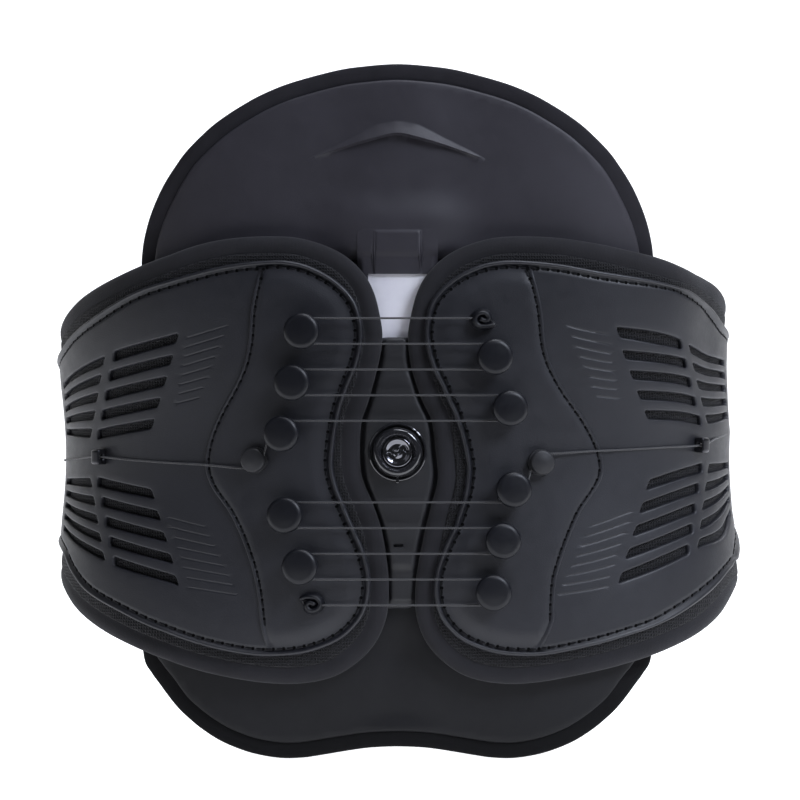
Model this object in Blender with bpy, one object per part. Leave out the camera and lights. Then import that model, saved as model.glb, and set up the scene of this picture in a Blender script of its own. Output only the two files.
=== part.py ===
"""Back brace: two rigid back plates on a height rail, a pair of laced back panels with pulleys,
and two front wings that close over each other.

The object's frame is in metres, +Z up, with its origin on the wearer's axis at the waist. The back
faces -Y and the front closure +Y. Sizes below are in millimetres. Most pieces lie along the waist, so
they are drawn in surface coordinates: u runs along the waist from the middle of the back, positive to
the right, z is the height, and d is the distance out from the wearer. wrap() turns (u, z, d) into a
point of the object's frame.
"""

import math

import bmesh
import bpy
from mathutils import Matrix, Vector

MM = 0.001

# The waist, seen from above: half of it as arcs (radius, angle) from the middle of the back, and then
# a straight front where the wings overlap.
WAIST_ARCS = ((260.0, math.radians(22)), (74.0, math.radians(68)), (93.0, math.radians(90)))
WAIST_BACK_Y = -94.0
FLARE_DEPTH = 14.0
FLARE_HEIGHT = 75.0
FLARE_FREE_U = 20.0  # the rail, its housing and its sleeve lie inside this and stand straight
FLARE_FULL_U = 100.0

# Layers, each as (inner, outer) distance from the wearer.
LINER = (0.0, 4.7)
BACK_PLATE = (5.3, 7.8)
RAIL = (8.1, 9.7)
HOUSING_WALL = (8.1, 11.4)
HOUSING_ROOF_INSIDE = 10.1
HOUSING_RIDGE = (10.8, 15.0)
SLEEVE = (10.1, 11.4)
PAD = (12.0, 16.4)
MESH = (16.9, 17.35)
SHELL = (17.9, 19.4)
PULLEY_PLATE = (19.8, 20.9)
WING = (12.0, 16.0)
FITTING_BASE = 21.2

# Lacing: the cord's spans are one step apart, and each sheave turns the cord from one to the next.
CORD_RADIUS = 0.6
SPAN_STEP = 11.8
SHEAVE_PITCH_RADIUS = SPAN_STEP / 2
TOP_SPAN_Z = 65.2
SHEAVE_U = (40.0, 40.7, 44.0, 47.0, 48.5)
SHEAVE_D = 25.2
SHEAVE_THICKNESS = 3.8
SHEAVE_BORE_RADIUS = 2.2
AXLE_RADIUS = 2.12
CAP_RADIUS = 8.3
CAP_BOTTOM = SHEAVE_D + SHEAVE_THICKNESS / 2 + 0.3
CAP_HEIGHT = 3.6
LOWER_LACING_MIRROR_Z = -1.5
ANCHOR = (36.5, 64.4)
GUIDE = (61.6, -0.2)
GUIDE_GROOVE_RADIUS = 4.0
GUIDE_GROOVE_D = 23.2
EYELETS = {"left": (134.0, 0.6), "right": (137.5, 6.2)}
EYELET_HOLE_D = 22.4

# Side seam between a panel and its wing.
SEAM_U = 222.0
SEAM_GAP = 0.6

# Centre lock dial and the rail's slot that its clamp bolt runs in.
DIAL_Z = 3.5
DIAL_RADIUS = 11.5
DIAL_CORE_RADIUS = 7.0
DIAL_BOLT_RADIUS = 2.0
RAIL_HALF_WIDTH = 15.0
RAIL_Z = (-26.0, 103.0)
RAIL_SLOT_Z = (-20.0, 29.0)
RAIL_SLOT_HALF_WIDTH = 2.6

# Front closure.
WING_OVERLAP = 36.0
RIGHT_WING_LIFT = 7.0
RIGHT_LIFT_START = 290.0
LOOP_PATCH = (16.3, 17.2)
HOOK_PATCH = (17.6, 18.7)
HANDLE_U = 270.0
HANDLE_HALF = (31.0, 16.0)
HANDLE_Z = {"left": -4.0, "right": 18.0}
HANDLE_PATCH = (16.3, 17.3)
HANDLE = (18.0, 21.0)

# Where a flat piece is cut so that it can bend: closest where the waist curves most.
U_STATIONS = (0, 20, 40, 60, 80, 100, 115, 130, 145, 160, 175, 190, 206, 222, 240, 258, 276, 294, 312, 334)
Z_STATIONS = (-110, -80, -65, -55, -44, -36, -26, -17, 0, 10, 19, 27, 35, 45, 52, 58, 67, 75, 82, 110, 145)

# Outlines on the right-hand side, as (u, z). The inner edge runs along the lacing gap.
PANEL_INNER_EDGE = (
    (24.2, 95.1), (15.4, 86.8), (10.3, 77.2), (7.4, 64.8), (6.6, 56.0), (8.3, 44.6), (12.7, 27.1),
    (15.8, 17.4), (16.5, 3.6), (15.4, -8.4), (10.8, -20.4), (6.8, -33.2), (4.6, -47.4), (3.8, -58.0),
    (4.6, -71.7), (9.5, -84.4), (18.7, -94.6),
)
PANEL_OUTLINE = (
    (SEAM_U, 54.0), (196, 58.5), (168, 67.0), (143, 77.5), (125, 85.0), (108, 92.0), (88, 99.2),
    (70, 102.7), (49, 103.2), (36, 100.6), *PANEL_INNER_EDGE, (31.0, -101.4), (49, -103.8),
    (72, -101.2), (97, -94.9), (125, -84.0), (147, -74.3), (168, -64.5), (196, -56.5), (SEAM_U, -53.0),
)
SHELL_OUTLINE = (
    (216, 38.0), (196, 42.5), (166, 51.5), (150, 59.0), (132, 68.0), (110, 79.5), (87, 86.6),
    (71, 90.3), (56, 92.0), (47.4, 91.9), (38.0, 89.5), (27.0, 83.1), (19.0, 74.4), (15.6, 64.8),
    (14.9, 56.1), (17.0, 44.6), (21.5, 32.7), (25.6, 18.4), (27.8, 0.0), (26.4, -10.7), (23.0, -20.3),
    (18.8, -30.8), (14.0, -42.7), (11.7, -54.1), (12.4, -64.6), (16.1, -74.2), (24.8, -83.1),
    (37.7, -88.7), (50.4, -90.6), (64.0, -90.2), (84, -86.0), (104, -79.2), (120, -71.8),
    (139, -63.2), (152, -54.6), (166, -45.5), (196, -39.5), (216, -36.5),
)
PLATE_OUTLINE = (
    (59.0, 88.4), (62.7, 70.9), (64.6, 52.1), (69.0, 37.8), (80.2, 16.5), (84.6, 0.2), (82.0, -11.9),
    (72.6, -25.7), (65.3, -42.2), (60.8, -58.6), (58.4, -77.4), (55.8, -87.2), (49.5, -87.4),
    (38.5, -85.5), (26.9, -80.3), (19.2, -72.2), (15.6, -63.8), (14.9, -54.2), (17.1, -43.6),
    (21.9, -31.8), (26.1, -21.3), (29.5, -11.3), (30.9, 0.0), (28.7, 19.0), (24.5, 33.6), (20.1, 45.4),
    (18.1, 56.2), (18.7, 64.1), (21.8, 72.7), (28.9, 80.6), (39.2, 86.4), (48.0, 88.7),
)
# The right panel's inner side leans: how far it moves outwards at each height, for its pad and its
# shell. The lean fades out further from the lacing gap.
LEAN_FADE_U = (30.0, 80.0)
PAD_LEAN = ((-100, 2.5), (-60, 4.0), (-37, 5.2), (-27, 4.9), (-15, 3.5), (-4, 1.4), (4, 0.2), (18, -0.8),
            (30, -2.1), (40, -2.7), (60, -1.9), (100, -1.5))
SHELL_LEAN = ((-90, 2.0), (-75, 3.0), (-60, 3.9), (-40, 5.0), (-30, 5.2), (-20, 4.2), (-10, 2.8), (0, 1.6),
              (10, 0.5), (20, -0.8), (30, -2.2), (40, -2.9), (60, -3.3), (76, -4.0), (92, -4.0))
SEAM_LEAN = ((-87, 4.6), (-74, 7.0), (-55, 5.5), (-31, 6.5), (-9, 6.5), (9, 4.0), (30, 1.0), (50, 0.0))
# The side of the right panel sits askew: how far it is moved up at each height, first halfway round to
# the side and then at the side, and how far outwards along the waist. It stands in less at its top.
ASKEW_FADE_U = (186.0, 221.0)
HALFWAY_U, HALFWAY_UP = (75.0, 130.0), (
    (-95, -3.0), (-72, -2.5), (-62, 2.0), (-50, 5.5), (-14, 6.5), (13, 6.5), (50, 5.5), (60, 10.0), (70, 9.0),
    (75, 7.0), (80, 5.6), (90, 5.6))
SIDE_U, SIDE_UP = (130.0, 178.0), (
    (-72, 0.0), (-60, -1.0), (-52, -5.0), (-45, -6.5), (-36.5, 7.5), (-30, 8.5), (-10, 8.0), (11, 8.5), (33, 13.4),
    (40, 13.8), (47.5, 13.4), (56, 12.8), (64, 12.5), (76, 11.0))
SIDE_LATE = ((-20, 0.0), (5, 8.0), (46, 8.0), (60, -10.0))
OUT_FADE_U, ASKEW_OUT = (140.0, 185.0), (
    (-72, 0.0), (-60, 3.0), (-50, 4.5), (-14, 4.0), (15, 2.5), (60, -0.5), (80, 0.0))
IN_U, ASKEW_IN = (116.0, 150.0), ((-45, -1.4), (-25, 0.0), (12, 0.0), (45, 5.0), (60, 6.0), (100, 5.0))
UPPER_PLATE_HALF = (
    (0, 182.4), (32, 179.8), (51, 173.6), (71, 161.4), (87, 149.0), (99, 135.0), (108, 120.0),
    (114, 106.0), (116.5, 92.0), (113.5, 80.5), (103, 74.5), (62, 74.0), (46, 78.5), (34, 84.8), (0, 85.6),
)
LOWER_PLATE_HALF = (
    (0, 52.0), (24, 51.5), (60, 46.0), (96, 38.0), (110, 26.0), (115, 8.0), (117, -40.0), (116, -80.0),
    (113, -97.0), (106, -110.0), (92.5, -122.3), (76, -132.6), (60, -137.3), (44, -137.7),
    (27, -135.2), (0, -132.4),
)
# The ridge fills the gap between the panels, so it leans with the right one.
HOUSING_RIDGE_OUTLINE = (
    (-5.4, 56.0), (-6.9, 46.0), (-11.2, 28.0), (-14.2, 17.5), (-15.0, 4.0), (-14.0, -8.4), (-9.7, -20.4),
    (-5.8, -33.0), (-3.7, -45.0), (-3.2, -50.0), (7.8, -50.0), (8.2, -45.0), (10.6, -33.0), (13.6, -20.4),
    (16.0, -8.4), (15.2, 4.0), (13.8, 17.5), (9.3, 28.0), (4.6, 45.0), (3.8, 56.0),
)
HOUSING_BASE_HALF = ((0, 56.6), (18.6, 56.6), (18.6, -50.0), (12.0, -58.0), (6.6, -68.0), (0, -69.0))

# Ventilation slots: five in each of two columns above the waist line, and five below it.
SLOT_ROWS = 5
SLOT_COLUMNS = (
    # (u, z) of the first slot's two ends, the step from each slot to the next, and the ends' heights
    ((96.0, 56.4), (124.5, 48.2), (3.1, -10.0), (3.2, -9.25), (4.4, 4.4)),
    ((130.0, 46.2), (168.0, 34.4), (3.0, -8.6), (0.8, -5.6), (4.4, 3.4)),
)


def flare(u, z):
    """How far the brace stands out here beyond its waist line. It is straight along the spine."""
    t = min(max((abs(u) - FLARE_FREE_U) / (FLARE_FULL_U - FLARE_FREE_U), 0), 1)
    return FLARE_DEPTH * (1 - 1 / (1 + (z / FLARE_HEIGHT) ** 2)) * t * t * (3 - 2 * t)


def wrap(u, z, d):
    """The point of the object's frame, in millimetres, at surface coordinates (u, z, d)."""
    x, y, heading, left = 0.0, WAIST_BACK_Y, 0.0, abs(u)
    for radius, angle in WAIST_ARCS:
        turn = min(left, radius * angle) / radius
        x += radius * (math.sin(heading + turn) - math.sin(heading))
        y -= radius * (math.cos(heading + turn) - math.cos(heading))
        heading += turn
        left -= radius * turn
    out = d + flare(u, z)
    x += left * math.cos(heading) + out * math.sin(heading)
    y += left * math.sin(heading) - out * math.cos(heading)
    return Vector((x if u >= 0 else -x, y, z))


def local_frame(u, z, d):
    """A matrix in metres whose X runs along the waist to the right, Y up the surface and Z outwards."""
    along = (wrap(u + 0.05, z, d) - wrap(u - 0.05, z, d)).normalized()
    out = along.cross(wrap(u, z + 0.05, d) - wrap(u, z - 0.05, d)).normalized()
    turn = Matrix((along, out.cross(along), out)).transposed().to_4x4()
    return Matrix.Translation(wrap(u, z, d) * MM) @ turn


def material(name, colour, roughness, metallic=0.0):
    made = bpy.data.materials.new(name)
    made.use_nodes = True
    shader = made.node_tree.nodes["Principled BSDF"]
    shader.inputs["Base Color"].default_value = (*colour, 1)
    shader.inputs["Roughness"].default_value = roughness
    shader.inputs["Metallic"].default_value = metallic
    return made


def add_object(name, body, finish, matrix=None, smooth_angle=35):
    """An object made of a bmesh. matrix places it, and is its own frame in metres."""
    bmesh.ops.recalc_face_normals(body, faces=body.faces[:])
    if body.calc_volume(signed=True) < 0:
        bmesh.ops.reverse_faces(body, faces=body.faces[:])
    mesh = bpy.data.meshes.new(name)
    body.to_mesh(mesh)
    body.free()
    mesh.materials.append(finish)
    mesh.shade_smooth()
    mesh.set_sharp_from_angle(angle=math.radians(smooth_angle))
    made = bpy.data.objects.new(name, mesh)
    bpy.context.scene.collection.objects.link(made)
    if matrix:
        made.matrix_world = matrix
    return made


# Outlines


def curve_through(points, steps=2, closed=True):
    """Points along a smooth curve through the given points."""
    count = len(points)
    spans = count if closed else count - 1
    found = []
    for i in range(spans):
        if closed:
            a, b, c, e = (Vector(points[(i + k) % count]) for k in (-1, 0, 1, 2))
        else:
            a, b, c, e = (Vector(points[min(max(i + k, 0), count - 1)]) for k in (-1, 0, 1, 2))
        for step in range(steps):
            t = step / steps
            found.append(0.5 * (2 * b + (c - a) * t + (2 * a - 5 * b + 4 * c - e) * t * t
                                + (3 * b - a - 3 * c + e) * t ** 3))
    if not closed:
        found.append(Vector(points[-1]))
    return [tuple(p) for p in found]


def whole(half):
    """A closed outline from its right-hand half, which starts and ends at u = 0."""
    return list(half) + [(-u, z) for u, z in reversed(half) if u]


def inset(outline, distance):
    """The outline moved inwards, with each point carried along its own normal."""
    area = sum(a[0] * b[1] - b[0] * a[1] for a, b in zip(outline, outline[1:] + outline[:1]))
    turn = math.copysign(1, area)
    moved = []
    for before, here, after in zip(outline[-1:] + outline[:-1], outline, outline[1:] + outline[:1]):
        along = Vector((after[0] - before[0], after[1] - before[1])).normalized()
        moved.append((here[0] - turn * along.y * distance, here[1] + turn * along.x * distance))
    return moved


def rounded_box(centre, half, radius, corner_steps=4):
    """The outline of a box with round corners."""
    found = []
    for quarter in range(4):
        x_side, z_side = ((1, 1), (-1, 1), (-1, -1), (1, -1))[quarter]
        for step in range(corner_steps + 1):
            angle = math.radians(90) * (quarter + step / corner_steps)
            found.append((centre[0] + x_side * (half[0] - radius) + radius * math.cos(angle),
                          centre[1] + z_side * (half[1] - radius) + radius * math.sin(angle)))
    return found


def slot_outlines():
    """Every ventilation slot of the right-hand shell."""
    found = []
    for inner, outer, inner_step, outer_step, (inner_height, outer_height) in SLOT_COLUMNS:
        slant, end_slant = inner_step[0] / inner_step[1], outer_step[0] / outer_step[1] / 4
        for row in range(SLOT_ROWS):
            a = (inner[0] + row * inner_step[0], inner[1] + row * inner_step[1])
            b = (outer[0] + row * outer_step[0], outer[1] + row * outer_step[1])
            low, high = inner_height / 2, outer_height / 2
            slot = [(a[0] - slant * low, a[1] - low), (b[0] - end_slant * high, b[1] - high),
                    (b[0] + end_slant * high, b[1] + high), (a[0] + slant * low, a[1] + low)]
            found.append(slot)
            found.append([(u, -z) for u, z in slot])
    return found


def table_at(table, z):
    """The table's value at a height, between its rows in proportion and beyond them level."""
    z = min(max(z, table[0][0]), table[-1][0])
    for (z0, low), (z1, high) in zip(table, table[1:]):
        if z <= z1:
            return low + (high - low) * (z - z0) / (z1 - z0)


def smooth(t):
    t = min(max(t, 0), 1)
    return t * t * (3 - 2 * t)


def lean(outline, table):
    """The outline with its inner side moved by the table's lean."""
    start, end = LEAN_FADE_U
    return [(u + table_at(table, z) * (1 - smooth((u - start) / (end - start))), z) for u, z in outline]


def between(span, value):
    return smooth((value - span[0]) / (span[1] - span[0]))


def askew(u, z, d):
    """Where a point of the right panel lies once its side is askew."""
    fade = 1 - between(ASKEW_FADE_U, u)
    share = between(HALFWAY_U, u) * fade
    halfway, side = table_at(HALFWAY_UP, z), table_at(SIDE_UP, z)
    up = share * (halfway + (side - halfway) * between(SIDE_U, u - table_at(SIDE_LATE, z)))
    out = share * table_at(ASKEW_OUT, z) * (1 - between(OUT_FADE_U, u))
    return u + out, z + up, d - between(IN_U, u) * fade * table_at(ASKEW_IN, z + up)


def prism(outline, low, high, holes=()):
    """A flat solid with the given outline and holes, from d = low to d = high."""
    body = bmesh.new()
    for ring in (outline, *holes):
        corners = [body.verts.new((u, z, low)) for u, z in ring]
        for a, b in zip(corners, corners[1:] + corners[:1]):
            body.edges.new((a, b))
    bmesh.ops.triangle_fill(body, edges=body.edges[:], use_beauty=True)
    grown = bmesh.ops.extrude_face_region(body, geom=body.faces[:])
    for part in grown["geom"]:
        if isinstance(part, bmesh.types.BMVert):
            part.co.z = high
    bmesh.ops.recalc_face_normals(body, faces=body.faces[:])
    return body


def combined(body, *others):
    """The body after Booleans with others, each an (operation, bmesh)."""
    def temporary(shape):
        mesh = bpy.data.meshes.new("tool")
        shape.to_mesh(mesh)
        shape.free()
        tool = bpy.data.objects.new("tool", mesh)
        bpy.context.scene.collection.objects.link(tool)
        return tool

    base = temporary(body)
    tools = [temporary(shape) for _, shape in others]
    for (operation, _), tool in zip(others, tools):
        modifier = base.modifiers.new(operation, "BOOLEAN")
        modifier.operation = operation
        modifier.solver = "EXACT"
        modifier.object = tool
    bpy.context.view_layer.update()
    result = bmesh.new()
    result.from_object(base, bpy.context.evaluated_depsgraph_get())
    for tool in (base, *tools):
        bpy.data.objects.remove(tool)
    return result


def join_inside_cells(body, cuts):
    """Joins the coplanar faces between the cuts, but never into a face with a hole in it."""
    def on_a_cut(edge):
        return any(all(abs((v.co - Vector(point)).dot(Vector(normal))) < 0.03 for v in edge.verts)
                   for point, normal in cuts)

    for edge in body.edges[:]:
        if not edge.is_valid or edge.calc_face_angle() > 0.001 or on_a_cut(edge):
            continue
        first, second = edge.link_faces
        if len(set(first.verts) & set(second.verts)) == 2:
            bmesh.utils.face_join((first, second))
    bmesh.ops.dissolve_verts(body, verts=[v for v in body.verts if len(v.link_edges) == 2])


def bend(body, side=1, lift=None, move=None):
    """Wraps a body drawn in surface coordinates round the waist. side -1 makes its mirror image."""
    bmesh.ops.triangulate(body, faces=body.faces[:])
    low = min(v.co.x for v in body.verts)
    high = max(v.co.x for v in body.verts)
    cuts = [((u * sign, 0, 0), (1, 0, 0)) for u in U_STATIONS for sign in (1, -1)
            if low + 1 < u * sign < high - 1 and (u or sign > 0)]
    cuts += [((0, z, 0), (0, 1, 0)) for z in Z_STATIONS]
    for point, normal in cuts:
        bmesh.ops.bisect_plane(body, geom=body.verts[:] + body.edges[:] + body.faces[:],
                               plane_co=point, plane_no=normal, dist=0.02)
    join_inside_cells(body, cuts)
    bmesh.ops.triangulate(body, faces=body.faces[:])
    for v in body.verts:
        u, z, d = v.co
        extra = lift(abs(u)) if lift else 0
        if move:
            u, z, d = move(u, z, d)
        v.co = wrap(side * u, z, d + extra) * MM
    return body


# Solids turned about their own Z


def turned(profile, sides=16, ring=False):
    """A solid turned from (radius, height) points in millimetres. ring closes the profile on itself."""
    body = bmesh.new()
    points = [body.verts.new((radius * MM, 0, height * MM)) for radius, height in profile]
    for a, b in zip(points, points[1:]):
        body.edges.new((a, b))
    if ring:
        body.edges.new((points[-1], points[0]))
    bmesh.ops.spin(body, geom=body.edges[:], axis=(0, 0, 1), cent=(0, 0, 0), steps=sides,
                   angle=math.tau, use_merge=True)
    bmesh.ops.remove_doubles(body, verts=body.verts[:], dist=1e-6)
    return body


def local_prism(outline, low, high, holes=()):
    """A prism in a fitting's own frame, given in millimetres."""
    body = prism(outline, low, high, holes)
    bmesh.ops.scale(body, vec=(MM, MM, MM), verts=body.verts[:])
    return body


# The two back supports


def back_plate(name, half, finish):
    return add_object(name, bend(prism(whole(half), *BACK_PLATE)), finish)


def back_liner(name, half, finish):
    return add_object(name, bend(prism(inset(whole(half), -3.0), *LINER)), finish)


def spine_housing(finish):
    """The cover over the rail: side walls, a roof, and the ridge that carries the dial."""
    body = prism(whole(HOUSING_BASE_HALF), *HOUSING_WALL)
    ridge = prism(list(HOUSING_RIDGE_OUTLINE), *HOUSING_RIDGE)
    channel = prism(rounded_box((0, 10.5), (RAIL_HALF_WIDTH + 0.5, 59.5), 1.0, 1),
                    HOUSING_WALL[0] - 2, HOUSING_ROOF_INSIDE)
    bolt_hole = prism(circle((0, DIAL_Z), DIAL_BOLT_RADIUS + 0.35, 12), HOUSING_WALL[0] - 3, 20)
    seat = prism(circle((0, DIAL_Z), DIAL_RADIUS + 0.5, 24), HOUSING_RIDGE[1] - 1.6, 20)
    body = combined(body, ("UNION", ridge), ("DIFFERENCE", channel), ("DIFFERENCE", bolt_hole),
                    ("DIFFERENCE", seat))
    return add_object("spine_housing", bend(body), finish)


def circle(centre, radius, sides):
    return [(centre[0] + radius * math.cos(math.tau * k / sides),
             centre[1] + radius * math.sin(math.tau * k / sides)) for k in range(sides)]


def height_rail(finish):
    slot = rounded_box((0, sum(RAIL_SLOT_Z) / 2),
                       (RAIL_SLOT_HALF_WIDTH, (RAIL_SLOT_Z[1] - RAIL_SLOT_Z[0]) / 2), 2.4, 3)
    outline = rounded_box((0, sum(RAIL_Z) / 2), (RAIL_HALF_WIDTH, (RAIL_Z[1] - RAIL_Z[0]) / 2), 2.0, 2)
    return add_object("height_rail", bend(prism(outline, *RAIL, [slot])), finish)


def rail_sleeve(finish):
    """The raised clip on the upper plate that the rail's head sits in."""
    outline = rounded_box((0, 96.5), (RAIL_HALF_WIDTH + 3.0, 10.5), 3.0, 3)
    body = prism(outline, RAIL[0], SLEEVE[1])
    channel = prism(rounded_box((0, 88), (RAIL_HALF_WIDTH + 0.6, 15.6), 1.0, 1),
                    RAIL[0] - 2, SLEEVE[0])
    return add_object("rail_sleeve", bend(combined(body, ("DIFFERENCE", channel))), finish)


def lock_dial(ring_finish, core_finish, bezel_finish):
    """The knob that clamps the rail: a ring with its bolt, a bright core and the bezel round it."""
    seat = HOUSING_RIDGE[1] - 1.6
    foot = seat + 0.3
    place = local_frame(0, DIAL_Z, 0)
    turned_ring = turned((
        (0, BACK_PLATE[1] + 0.5), (DIAL_BOLT_RADIUS, BACK_PLATE[1] + 0.5), (DIAL_BOLT_RADIUS, foot),
        (DIAL_RADIUS - 0.6, foot), (DIAL_RADIUS, foot + 0.8), (DIAL_RADIUS, foot + 5.4),
        (DIAL_RADIUS - 1.0, foot + 7.2), (DIAL_RADIUS - 2.4, foot + 7.8),
        (DIAL_CORE_RADIUS + 0.6, foot + 7.0), (DIAL_CORE_RADIUS + 0.3, foot + 5.0), (0, foot + 5.0),
    ), 32)
    add_object("lock_dial", turned_ring, ring_finish, place)
    core = turned((
        (0, foot + 5.3), (DIAL_CORE_RADIUS, foot + 5.3), (DIAL_CORE_RADIUS, foot + 6.8),
        (DIAL_CORE_RADIUS - 1.0, foot + 7.2), (DIAL_CORE_RADIUS - 2.2, foot + 6.6), (0, foot + 6.2),
    ), 28)
    add_object("dial_core", core, core_finish, place)
    bezel_base = HOUSING_RIDGE[1] + 0.3
    bezel = turned((
        (DIAL_RADIUS + 0.7, bezel_base), (DIAL_RADIUS + 2.1, bezel_base),
        (DIAL_RADIUS + 1.9, bezel_base + 0.9), (DIAL_RADIUS + 0.9, bezel_base + 1.1),
    ), 28, ring=True)
    add_object("dial_bezel", bezel, bezel_finish, place)


# Back panels


def panel(side_name, side, finishes):
    """A panel's layers: the foam pad, the mesh that shows in the slots, the shell and pulley plate."""
    move = askew if side > 0 else None
    outline = lean(PANEL_OUTLINE, PAD_LEAN) if side > 0 else list(PANEL_OUTLINE)
    add_object(f"{side_name}_pad", bend(prism(outline, *PAD), side, move=move), finishes["binding"])
    mesh_outline = inset([(min(u, SEAM_U - 2.0), z) for u, z in outline], 6.0)
    add_object(f"{side_name}_mesh_layer", bend(prism(mesh_outline, *MESH), side, move=move), finishes["mesh"])
    shell_outline = lean(SHELL_OUTLINE, SHELL_LEAN) if side > 0 else list(SHELL_OUTLINE)
    shell = prism(shell_outline, *SHELL, slot_outlines())
    add_object(f"{side_name}_shell", bend(shell, side, move=move), finishes["shell"])
    plate_outline = list(PLATE_OUTLINE)
    if side > 0:
        plate_outline = [(u + table_at(SEAM_LEAN, z) * between((42, 56), u), z)
                         for u, z in lean(PLATE_OUTLINE, SHELL_LEAN)]
    plate = prism(plate_outline, *PULLEY_PLATE)
    add_object(f"{side_name}_pulley_plate", bend(plate, side, move=move), finishes["shell"])


def sheave_centre(index, lower=False):
    """(u, z) of a sheave. The cord meets them in turn: even ones on its first side, odd on the other."""
    side = -1 if index % 2 == 0 else 1
    z = TOP_SPAN_Z - SHEAVE_PITCH_RADIUS - index * SPAN_STEP
    if lower:
        return -side * SHEAVE_U[index], LOWER_LACING_MIRROR_Z - z
    return side * SHEAVE_U[index], z


def sheave_places():
    """(side name, number from the top, u, z) of every sheave."""
    found = []
    for side_name, sign in (("left", -1), ("right", 1)):
        centres = [sheave_centre(i, lower) for lower in (False, True) for i in range(len(SHEAVE_U))]
        mine = sorted((c for c in centres if c[0] * sign > 0), key=lambda c: -c[1])
        found += [(side_name, number + 1, u, z) for number, (u, z) in enumerate(mine)]
    return found


def pulleys(cap_finish, sheave_finish):
    """A sheave with a grooved rim on each axle, under a domed cap that is one piece with the axle."""
    half = SHEAVE_THICKNESS / 2
    rim, root = SHEAVE_PITCH_RADIUS + 1.0, SHEAVE_PITCH_RADIUS - CORD_RADIUS - 0.35
    sheave_profile = ((SHEAVE_BORE_RADIUS, -half), (rim, -half), (root, -0.75), (root, 0.75),
                      (rim, half), (SHEAVE_BORE_RADIUS, half))
    base = FITTING_BASE - SHEAVE_D
    under = CAP_BOTTOM - SHEAVE_D
    top = under + CAP_HEIGHT
    cap_profile = (
        (0, base), (4.4, base), (4.4, -half - 0.3), (AXLE_RADIUS, -half - 0.3), (AXLE_RADIUS, under),
        (CAP_RADIUS, under), (CAP_RADIUS - 0.1, top - 1.6), (CAP_RADIUS - 1.2, top - 0.5), (0, top + 0.25),
    )
    for side_name, number, u, z in sheave_places():
        place = local_frame(u, z, SHEAVE_D)
        add_object(f"{side_name}_sheave_{number}", turned(sheave_profile, 14, ring=True),
                   sheave_finish, place)
        add_object(f"{side_name}_pulley_cap_{number}", turned(cap_profile, 16), cap_finish, place)


def cord_fittings(finish, metal):
    """The cleats that hold the cords' ends, the guide buttons and the side eyelets."""
    for side_name, sign in (("left", -1), ("right", 1)):
        anchor_z = ANCHOR[1] if sign > 0 else LOWER_LACING_MIRROR_Z - ANCHOR[1]
        outline = [(3.6, 0.6), (2.6, 3.6), (-0.8, 4.6), (-4.2, 3.0), (-5.2, -0.4), (-3.6, -3.2), (0.6, -4.2),
                   (5.0, -2.2)]
        curl = curve_through([(x * sign, y * sign) for x, y in outline], 2)
        add_object(f"{side_name}_cord_anchor", local_prism(curl, 0, 4.6), finish,
                   local_frame(sign * ANCHOR[0], anchor_z, FITTING_BASE))
        guide_z = GUIDE[1] if sign < 0 else LOWER_LACING_MIRROR_Z - GUIDE[1]
        low = FITTING_BASE - GUIDE_GROOVE_D
        profile = ((0, low), (6.2, low), (6.2, -1.7), (5.6, -1.1), (GUIDE_GROOVE_RADIUS - 0.95, -0.8),
                   (GUIDE_GROOVE_RADIUS - 0.95, 0.9), (5.3, 1.1), (5.6, 2.0), (5.2, 3.0), (3.0, 3.7), (0, 3.9))
        add_object(f"{side_name}_cord_guide", turned(profile, 18), finish,
                   local_frame(sign * GUIDE[0], guide_z, GUIDE_GROOVE_D))
        eyelet_u, eyelet_z = EYELETS[side_name]
        base = SHELL[1] + 0.3 - EYELET_HOLE_D
        block = rounded_box((0, (base + 2.3) / 2), (3.6, (2.3 - base) / 2), 0.8, 2)
        body = local_prism(block, -2.8, 2.8, [circle((0, 0), 1.15, 8)])
        turn = Matrix(((0, 0, 1, 0), (1, 0, 0, 0), (0, 1, 0, 0), (0, 0, 0, 1)))
        add_object(f"{side_name}_cord_eyelet", body, metal,
                   local_frame(sign * eyelet_u, eyelet_z, EYELET_HOLE_D) @ turn)


# Lacing cords


def on_circle(place, radius, degrees):
    angle = math.radians(degrees)
    return place @ (Vector((math.cos(angle), math.sin(angle), 0)) * radius * MM)


def arc(place, radius, start, end, steps):
    """Points of an arc in a fitting's own plane, angles in degrees from its X towards its Y."""
    return [on_circle(place, radius, start + (end - start) * k / steps) for k in range(steps + 1)]


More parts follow.
